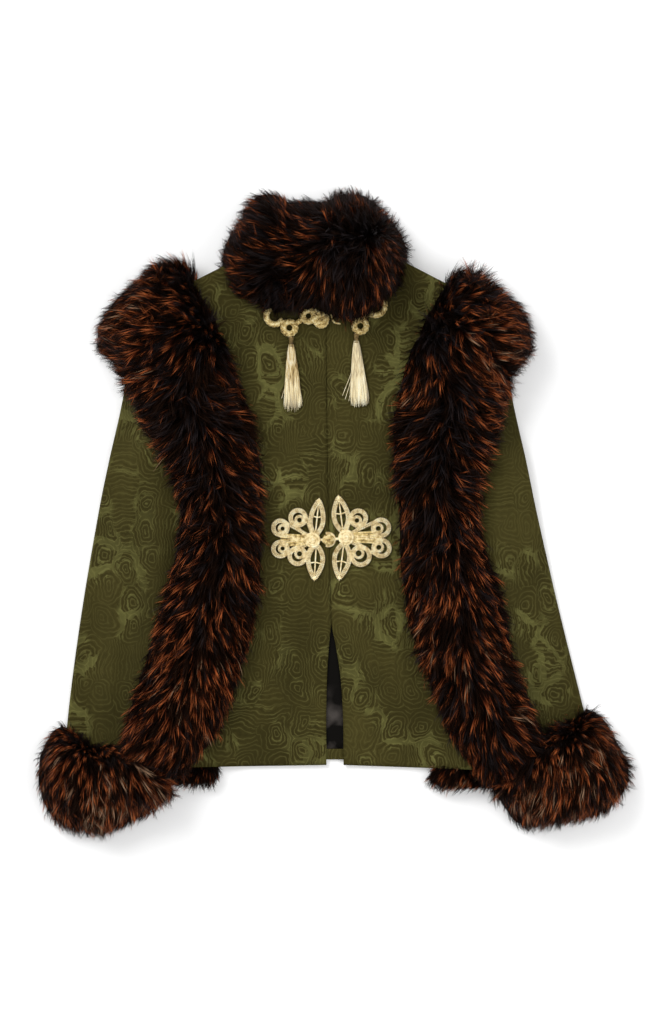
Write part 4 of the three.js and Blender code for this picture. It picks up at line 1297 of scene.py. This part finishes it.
def circle(x, y, radius, start=0.0, turns=1.0, count=28):
    # points round a circle, or along an arc with both of its ends
    angles = [start + 2 * math.pi * turns * i / count for i in range(count + (turns < 1))]
    return [(x + radius * math.cos(angle), y + radius * math.sin(angle)) for angle in angles]


def evenPoints(points, closed, step):
    # points at equal steps along a smooth line through the given ones, in metres
    given = np.array(points, float)
    if closed:
        given = np.vstack([given, given[:1]])
    ahead = np.vstack([given[1] - given[0], (given[2:] - given[:-2]) / 2, given[-1] - given[-2]])
    if closed:
        ahead[0] = ahead[-1] = (given[1] - given[-2]) / 2
    fine = []
    for i in range(len(given) - 1):
        for t in np.linspace(0, 1, 12, endpoint=False):
            a, b = 2 * t**3 - 3 * t**2 + 1, -2 * t**3 + 3 * t**2
            c, d = t**3 - 2 * t**2 + t, t**3 - t**2
            fine.append(a * given[i] + b * given[i + 1] + c * ahead[i] + d * ahead[i + 1])
    fine.append(given[-1])
    fine = np.array(fine) * mm
    lengths = np.concatenate([[0], np.cumsum(np.linalg.norm(np.diff(fine, axis=0), axis=1))])
    count = max(2, int(round(lengths[-1] / step)))
    places = np.linspace(0, lengths[-1], count + (not closed), endpoint=not closed)
    return np.stack([np.interp(places, lengths, fine[:, k]) for k in range(given.shape[1])], axis=1)


def tangents(line, closed):
    if closed:
        way = np.roll(line, -1, axis=0) - np.roll(line, 1, axis=0)
    else:
        way = np.gradient(line, axis=0)
    return way / np.linalg.norm(way, axis=1)[:, None]


class Braids:
    # gathers flat braids into one ground mesh and one set of stitch lines
    def __init__(self):
        self.verts, self.faces = [], []
        self.rows, self.edges, self.slants = [], [], []

    def add(self, points, wide=braid["wide"], high=braid["high"], closed=False, lift=0.0, rows=3):
        line = evenPoints(points, closed, 0.9 * mm)
        way = tangents(line, closed)
        offs = [-0.5, -0.46, -0.26, 0, 0.26, 0.46, 0.5]
        heights = [0.0, 0.5, 0.82, 0.72, 0.82, 0.5, 0.0]
        start, wideCount = len(self.verts), len(offs)
        for (x, y), (dx, dy) in zip(line, way):
            for off, height in zip(offs, heights):
                px, py = x - dy * off * wide, y + dx * off * wide
                self.verts.append((px, py, lie(px, py) + lift + height * high * 0.9))
        count = len(line)
        for i in range(count if closed else count - 1):
            here, there = start + i * wideCount, start + (i + 1) % count * wideCount
            for s in range(wideCount):
                t = (s + 1) % wideCount
                self.faces.append((here + s, there + s, there + t, here + t))
        if not closed:
            self.faces.append(tuple(start + s for s in range(wideCount)))
            self.faces.append(tuple(start + (count - 1) * wideCount + s for s in reversed(range(wideCount))))
        for row in range(rows):
            off = ((row + 0.5) / rows - 0.5) * 0.86
            crown = high * (0.98 - 1.1 * off * off)
            first = len(self.rows)
            for (x, y), (dx, dy) in zip(line, way):
                px, py = x - dy * off * wide, y + dx * off * wide
                self.rows.append((px, py, lie(px, py) + lift + crown))
                self.slants.append(braid["slant"] * (1 if row % 2 else -1))
            self.edges += [(first + i, first + i + 1) for i in range(count - 1)]
            if closed:
                self.edges.append((first + count - 1, first))


def tube(line, radii, closed, sides=8, up=None):
    # a round cord along 3-D points
    line = np.array(line)
    way = tangents(line, closed)
    verts, faces = [], []
    for i, (place, along) in enumerate(zip(line, way)):
        guide = np.array(up[i]) if up is not None else np.array([0, 0, 1.0])
        across = np.cross(along, guide)
        across /= np.linalg.norm(across) + 1e-12
        over = np.cross(across, along)
        radius = radii if np.isscalar(radii) else radii[i]
        for s in range(sides):
            angle = 2 * math.pi * s / sides
            verts.append(place + radius * (math.cos(angle) * across + math.sin(angle) * over))
    count = len(line)
    for i in range(count if closed else count - 1):
        j = (i + 1) % count
        for s in range(sides):
            t = (s + 1) % sides
            faces.append((i * sides + s, i * sides + t, j * sides + t, j * sides + s))
    if not closed:
        faces.append(tuple(reversed(range(sides))))
        faces.append(tuple(range((count - 1) * sides, count * sides)))
    return verts, faces


class Cords:
    # gathers round and twisted cords into one mesh
    def __init__(self):
        self.verts, self.faces = [], []

    def newPiece(self, name, material):
        return newObject(name, self.verts, self.faces, material)

    def addTube(self, *given, **settings):
        verts, faces = tube(*given, **settings)
        start = len(self.verts)
        self.verts += [tuple(v) for v in verts]
        self.faces += [tuple(start + v for v in face) for face in faces]

    def twisted(self, points, radius, pitch, closed=False, above=0.0, strands=3):
        # strands laid round one another; the middle of a flat line's cord lies this far above the front
        line = np.array(points, float)
        if line.shape[1] == 2:
            line = np.array([(x, y, lie(x, y) + above) for x, y in evenPoints(points, closed, 0.9 * mm)])
        way = tangents(line, closed)
        lengths = np.linalg.norm(np.diff(line, axis=0), axis=1)
        run = np.concatenate([[0], np.cumsum(lengths)])
        total = run[-1] + (np.linalg.norm(line[0] - line[-1]) if closed else 0)
        turns = max(1, round(total / pitch)) if closed else total / pitch
        own = radius * 0.52
        for strand in range(strands):
            angles = 2 * math.pi * (run / total * turns + strand / strands)
            across = np.cross(way, np.array([0, 0, 1.0]))
            across /= np.linalg.norm(across, axis=1)[:, None] + 1e-12
            over = np.cross(across, way)
            around = np.cos(angles)[:, None] * across + np.sin(angles)[:, None] * over
            place = line + (radius - own) * around
            self.addTube(place, own, closed, sides=5)


def stitchTree():
    takes = {"Lines": "Geometry", "Stitch": "Object", "Thread": "Material", "Pitch": "Float"}
    tree, given, out = newTree("stitchesAlong", takes, "Stitches")
    curve = addNode(tree, "GeometryNodeMeshToCurve", {0: given["Lines"]}).outputs[0]
    stepped = addNode(
        tree, "GeometryNodeResampleCurve", {"Curve": curve, "Length": given["Pitch"]}, mode="LENGTH"
    ).outputs[0]
    slant = addNode(tree, "GeometryNodeInputNamedAttribute", {"Name": "slant"}, data_type="FLOAT").outputs[0]
    along = tree.nodes.new("GeometryNodeInputTangent").outputs[0]
    lay = addNode(
        tree, "FunctionNodeAxesToRotation", {0: (0, 0, 1), 1: along}, primary_axis="Z", secondary_axis="X"
    ).outputs[0]
    angle = addNode(tree, "ShaderNodeCombineXYZ", {2: slant}).outputs[0]
    spin = addNode(tree, "FunctionNodeEulerToRotation", {0: angle}).outputs[0]
    turned = addNode(tree, "FunctionNodeRotateRotation", {0: lay, 1: spin}, rotation_space="LOCAL").outputs[0]
    shape = addNode(tree, "GeometryNodeObjectInfo", {"Object": given["Stitch"]}).outputs["Geometry"]
    put = addNode(
        tree, "GeometryNodeInstanceOnPoints", {"Points": stepped, "Instance": shape, "Rotation": turned}
    ).outputs[0]
    real = addNode(tree, "GeometryNodeRealizeInstances", {"Geometry": put}).outputs[0]
    threaded = addNode(tree, "GeometryNodeSetMaterial", {"Geometry": real, "Material": given["Thread"]})
    tree.links.new(threaded.outputs[0], out.inputs[0])
    return tree


def makeStitch():
    # one short slanted stitch: a spindle with four sides
    verts = [(-1.5, 0, -0.2), (1.5, 0, -0.2)]
    for x in (-0.7, 0.7):
        verts += [(x, 0.66, 0), (x, 0, 0.62), (x, -0.66, 0), (x, 0, -0.5)]
    faces = []
    for s in range(4):
        t = (s + 1) % 4
        faces += [(0, 2 + t, 2 + s), (2 + s, 2 + t, 6 + t, 6 + s), (1, 6 + s, 6 + t)]
    piece = newObject("stitch", [tuple(c * mm for c in v) for v in verts], faces, goldBraid)
    faceOutward(piece.data)
    return piece


def stitched(name, braids, tree, stitch):
    # the ground of flat braids and the rows of stitches on it
    # the ground is of the painted-shade gold
    ground = newObject(name, braids.verts, braids.faces, braidGround)
    lines = bpy.data.meshes.new("stitchLines")
    lines.from_pydata(braids.rows, braids.edges, [])
    lines.attributes.new("slant", "FLOAT", "POINT").data.foreach_set("value", braids.slants)
    rows = bpy.data.objects.new("stitchLines", lines)
    bpy.context.collection.objects.link(rows)
    sew = rows.modifiers.new("sew", "NODES")
    sew.node_group = tree
    setInputs(sew, tree, {"Stitch": stitch, "Thread": goldBraid, "Pitch": braid["pitch"]})
    plainMesh(rows)
    return [ground, rows]


def coil(cords, x, y, radius, high, cord=1.6):
    # a sewn rosette: a twisted cord wound in from the edge to a raised middle
    turns, count = (radius - cord) / cord / 1.7 + 0.8, 120
    line = []
    for i in range(count + 1):
        t = i / count
        out = (radius - cord) * min(1, (1 - t) / (1 - 0.8 / turns)) ** 0.85
        angle = 2 * math.pi * turns * t
        px, py = (x + out * math.cos(angle)) * mm, (y + out * math.sin(angle)) * mm
        line.append((px, py, lie(px, py) + (cord + 0.9 + (high - 2 * cord - 0.9) * t**0.7) * mm))
    cords.twisted(line, cord * mm, cord * 3.5 * mm)


def knotButton(cords):
    # a ball of cord wound over and under itself, with a small round cap
    x, y = (c * mm for c in button["at"])
    rest = lie(x, y)
    ball = np.array([x, y, rest + button["middle"] * mm])
    line, outward = [], []
    for i in range(button["points"]):
        t = 2 * math.pi * i / button["points"]
        tilt = 0.98 * math.sin(5 * t + 0.4)
        turn = 3 * t
        out = np.array([math.cos(tilt) * math.cos(turn), math.cos(tilt) * math.sin(turn), math.sin(tilt)])
        reach = (button["ball"] + 0.4 * math.sin(7.5 * t)) * mm
        line.append(ball + out * reach * np.array([1, 1, button["flat"]]))
        outward.append(out)
    cords.addTube(line, button["cord"] * mm, True, sides=8, up=outward)
    capRadius, capHeight = 1.3 * mm, 8.0 * mm
    cap = [
        np.array([x + capRadius * math.cos(a), y + capRadius * math.sin(a), rest + capHeight])
        for a in np.linspace(0, 6.0, 14)
    ]
    cords.addTube(cap, 1.0 * mm, False, sides=6)


def makeWaistFrog(side, tree, stitch):
    made = waistFrog[side]
    # the stem and the button are of the warmer, darker cord; on the button it also stands for painted shade
    braids, cords, warmCords = Braids(), Cords(), Cords()
    kx, ky, knotRadius = made["knot"]
    fine = {"wide": braid["fineWide"], "high": braid["fineHigh"], "rows": 2, "lift": 0.5 * mm}
    for x, y, radius in made["loops"]:
        outer = radius - 3.1
        inner = outer * 0.5
        way = math.atan2(ky - y, kx - x)
        shift = outer - inner - 1.2
        aside = np.array([-math.sin(way), math.cos(way)])
        for turn in (-1, 1):
            start = np.array([x, y]) + aside * turn * outer + np.array([kx - x, ky - y]) * 0.05
            leg = [tuple(start), (kx + aside[0] * turn * 2, ky + aside[1] * turn * 2)]
            braids.add(leg, wide=braid["legWide"], high=braid["legHigh"], rows=2)
        braids.add(circle(x, y, outer, way), closed=True)
        near = (x + shift * math.cos(way), y + shift * math.sin(way))
        braids.add(circle(*near, inner, way, count=14), closed=True, **fine)
    for foot, tip, half in made["leaves"]:
        foot, tip = np.array(foot), np.array(tip)
        along = tip - foot
        ahead = along / np.linalg.norm(along)
        out = np.array([-ahead[1], ahead[0]])
        reach = half - 2.5
        shares, widths = (0.02, 0.18, 0.36, 0.56, 0.74, 0.88), (0.22, 0.74, 1.0, 0.94, 0.66, 0.32)
        edge = [foot + along * s + out * reach * w for s, w in zip(shares, widths)]
        edge += [tip - along * 0.03]
        edge += [foot + along * s - out * reach * w for s, w in reversed(list(zip(shares, widths)))]
        braids.add([tuple(p) for p in edge], wide=braid["leafWide"], closed=True)
        point = [onFront(*p, 1.5) for p in (tip - ahead * 3, tip, tip + ahead * 2.6)]
        cords.addTube(point, [2.4 * mm, 1.7 * mm, 0.1 * mm], False)
        rib = [tuple(foot + along * s) for s in (0.02, 0.5, 0.93)]
        cords.twisted(rib, 0.95 * mm, 4 * mm, above=1.1 * mm)
        across = [tuple(foot + along * (0.5 + 0.03 * k * k) + out * reach * 0.7 * k) for k in (-1, 0, 1)]
        cords.twisted(across, 0.9 * mm, 4 * mm, above=2.1 * mm)
    start, stop = made["stem"], mix(made["stem"], kx, 0.86)
    for off in (-5.6, -2.8, 0, 2.8, 5.6):
        line = [(start, ky + off * 1.15), ((start + stop) / 2, ky + off * 0.95), (stop, ky + off * 0.8)]
        warmCords.twisted(line, 1.5 * mm, 5 * mm, above=1.7 * mm)
    coil(cords, kx, ky, knotRadius + 0.9, 7.2)
    x, y = button["at"]
    if side == "left":
        knotButton(warmCords)
        cords.twisted([(x, y), (-12, -31.8), (-18, -32)], 1.7 * mm, 6 * mm, above=1.8 * mm)
    else:
        around = circle(x, y, button["radius"] + 1.2, start=-1.9, turns=3.8 / 2 / math.pi, count=16)
        cords.twisted(around, 1.7 * mm, 6 * mm, above=1.8 * mm)
        cords.twisted([(x + 8, -31), (8, -30), (14, -29)], 1.75 * mm, 6 * mm, above=1.9 * mm)
    corded = [cords.newPiece("wound", goldBraid), warmCords.newPiece("stem", goldCord)]
    piece = joined(f"waistFrog{side.capitalize()}", stitched("ground", braids, tree, stitch) + corded)
    finishPiece(piece, [f"waist_frog_{side}"])
    print(piece.name, "faces", len(piece.data.polygons))


neckFrog = {
    "left": {
        "rings": [(-64, 214.5, 9.2, 100, 235), (-48, 201.5, 6.6, 0, 360), (-27, 214.5, 6.2, 0, 360)],
        "coil": (-13, 210, 9.6),
        "ties": [[(-42, 205), (-34, 211)], [(-21, 220), (-14, 217)]],
        "thin": [],
    },
    "right": {
        "rings": [(46.5, 225.5, 10.2, -130, 200), (30, 203.5, 6.6, 0, 360)],
        "coil": (8, 222, 8.0),
        "ties": [[(37, 228), (26, 227), (14, 223)], [(32, 211), (39, 217)]],
        "thin": [[(-2, 216), (1, 208), (8, 206)]],
    },
}


def makeNeckFrog(side):
    made = neckFrog[side]
    cords = Cords()
    for k, (x, y, radius, start, sweep) in enumerate(made["rings"]):
        ring = circle(x, y, radius, start=math.radians(start), turns=sweep / 360)
        cords.twisted(ring, 3.7 * mm, 10 * mm, closed=sweep == 360, above=(3.2 + 0.3 * k) * mm)
    for line in made["ties"]:
        cords.twisted(line, 3.2 * mm, 9 * mm, above=2.8 * mm)
    x, y, radius = made["coil"]
    coil(cords, x, y, radius, 6.4, cord=2.5)
    for line in made["thin"]:
        cords.twisted(line, 1.2 * mm, 4.4 * mm, above=1.4 * mm)
    piece = cords.newPiece(f"neckFrog{side.capitalize()}", goldCord)
    finishPiece(piece, [f"neck_frog_{side}"])
    print(piece.name, "faces", len(piece.data.polygons))


tassel = {
    "threads": 230,
    "headRadius": 2.5,
    "headLength": 10,
    "turns": 9,
    "root": 2.4,
    "end": 10.2,
    "thick": 3.2,
    "thread": 0.42 * mm,
}
tassels = {
    "left": {
        "seed": 4,
        "x": -46,
        "top": 191.2,
        "footX": -44.5,
        "foot": 117,
        "stray": [(-11, 7), (12, 3), (10, 9)],
    },
    "right": {
        "seed": 9,
        "x": 25.6,
        "top": 195.2,
        "footX": 29.5,
        "foot": 120,
        "stray": [(-18, 7), (-15, 3), (-13, 9), (-11, 1), (9, 6)],
    },
}


def makeTassel(side):
    made = tassels[side]
    chance = random.Random(made["seed"])
    cords, wound = Cords(), Cords()
    neck = made["top"] - tassel["headLength"]

    def high(x, y):
        # the middle of the tassel's thickness
        return lie(x, y) + tassel["thick"] * mm + 0.3 * mm

    winding, count = [], tassel["turns"] * 14
    for i in range(count):
        t = i / (count - 1)
        angle = 2 * math.pi * tassel["turns"] * t
        waist = 0.72 + 0.28 * abs(2 * t - 0.9) ** 1.2
        radius = tassel["headRadius"] * waist * mm
        x, y = made["x"] * mm, mix(neck, made["top"], t) * mm
        winding.append((x + radius * math.cos(angle), y, high(x, y) + radius * math.sin(angle)))
    wound.addTube(winding, 0.62 * mm, False, sides=6, up=[(0, 1, 0.01)] * len(winding))
    x = made["x"] * mm
    core = [(x, y * mm, high(x, y * mm)) for y in np.linspace(neck - 1, made["top"] + 0.5, 6)]
    widths = [tassel["headRadius"] * s * mm for s in (1.0, 0.9, 0.75, 0.75, 0.9, 0.5)]
    cords.addTube(core, widths, False, sides=10)
    for i in range(tassel["threads"]):
        out = math.sqrt((i + 0.5) / tassel["threads"])
        angle = i * 2.39996
        across, up = out * math.cos(angle), out * math.sin(angle)
        end = made["foot"] + chance.gauss(0, 2.4) - 1.5 * abs(up)
        wave, phase = chance.uniform(0.1, 0.7), chance.uniform(0, 6)
        lean = chance.gauss(0, 0.6)
        line, steps = [], 9
        for j in range(steps + 1):
            t = j / steps
            spread = mix(tassel["root"], tassel["end"], t**0.7)
            px = mix(made["x"], made["footX"], t) + across * spread + wave * math.sin(phase + 6 * t) * t
            px = (px + lean * t * t) * mm
            py = mix(neck + 2, end, t) * mm
            thick = mix(tassel["root"], tassel["thick"] * (1 - 0.45 * t), t)
            pz = high(px, py) + up * thick * mm - t * 0.9 * mm
            line.append((px, py, max(pz, lie(px, py) + 0.3 * mm)))
        width = tassel["thread"] * chance.uniform(0.8, 1.25)
        cords.addTube(line, [width] * steps + [width * 0.5], False, sides=4)
    for dx, raised in made["stray"]:
        line = []
        for j in range(12):
            t = j / 11
            px = mix(made["x"], made["footX"] + dx, t**1.3) + 1.5 * math.sin(4 * t)
            line.append(onFront(px, mix(neck, made["foot"] + raised, t), mix(3.5, 0.5, t)))
        cords.addTube(line, 0.35 * mm, False, sides=4)
    silk = cords.newPiece("silk", tasselSilk)
    piece = joined(f"tassel{side.capitalize()}", [silk, wound.newPiece("winding", braidGround)])
    finishPiece(piece, [f"tassel_{side}"])
    print(piece.name, "faces", len(piece.data.polygons))


stitch, sewing = makeStitch(), stitchTree()
for side in sides:
    makeWaistFrog(side, sewing, stitch)
    makeNeckFrog(side)
    makeTassel(side)
bpy.data.objects.remove(stitch)
print("frogs and tassels sewn on")

# a pale floor and soft light from all round
floorMaterial, floorTree, floorShader = newMaterial("paleFloor", Roughness=0.9)
floorShader.inputs["Base Color"].default_value = (0.92, 0.92, 0.92, 1)
floorShader.inputs["Emission Color"].default_value = (1, 1, 1, 1)
floorShader.inputs["Emission Strength"].default_value = 0.16
floor = newObject("floor", [(-4, -4, 0), (4, -4, 0), (4, 4, 0), (-4, 4, 0)], [(0, 1, 2, 3)], floorMaterial)


def softLight(name, place, size, power):
    lamp = bpy.data.lights.new(name, "AREA")
    lamp.energy, lamp.size = power, size
    lit = bpy.data.objects.new(name, lamp)
    bpy.context.collection.objects.link(lit)
    lit.location = place
    lit.rotation_euler = (-Vector(place)).to_track_quat("-Z", "Y").to_euler()


softLight("keyLight", (-1.6, 1.5, 2.4), 1.6, 62)
softLight("fillLight", (1.9, -0.6, 2.2), 2.2, 26)
world = bpy.data.worlds.new("softRoom")
world.use_nodes = True
world.node_tree.nodes["Background"].inputs["Color"].default_value = (1, 1, 1, 1)
world.node_tree.nodes["Background"].inputs["Strength"].default_value = 0.62
bpy.context.scene.world = world
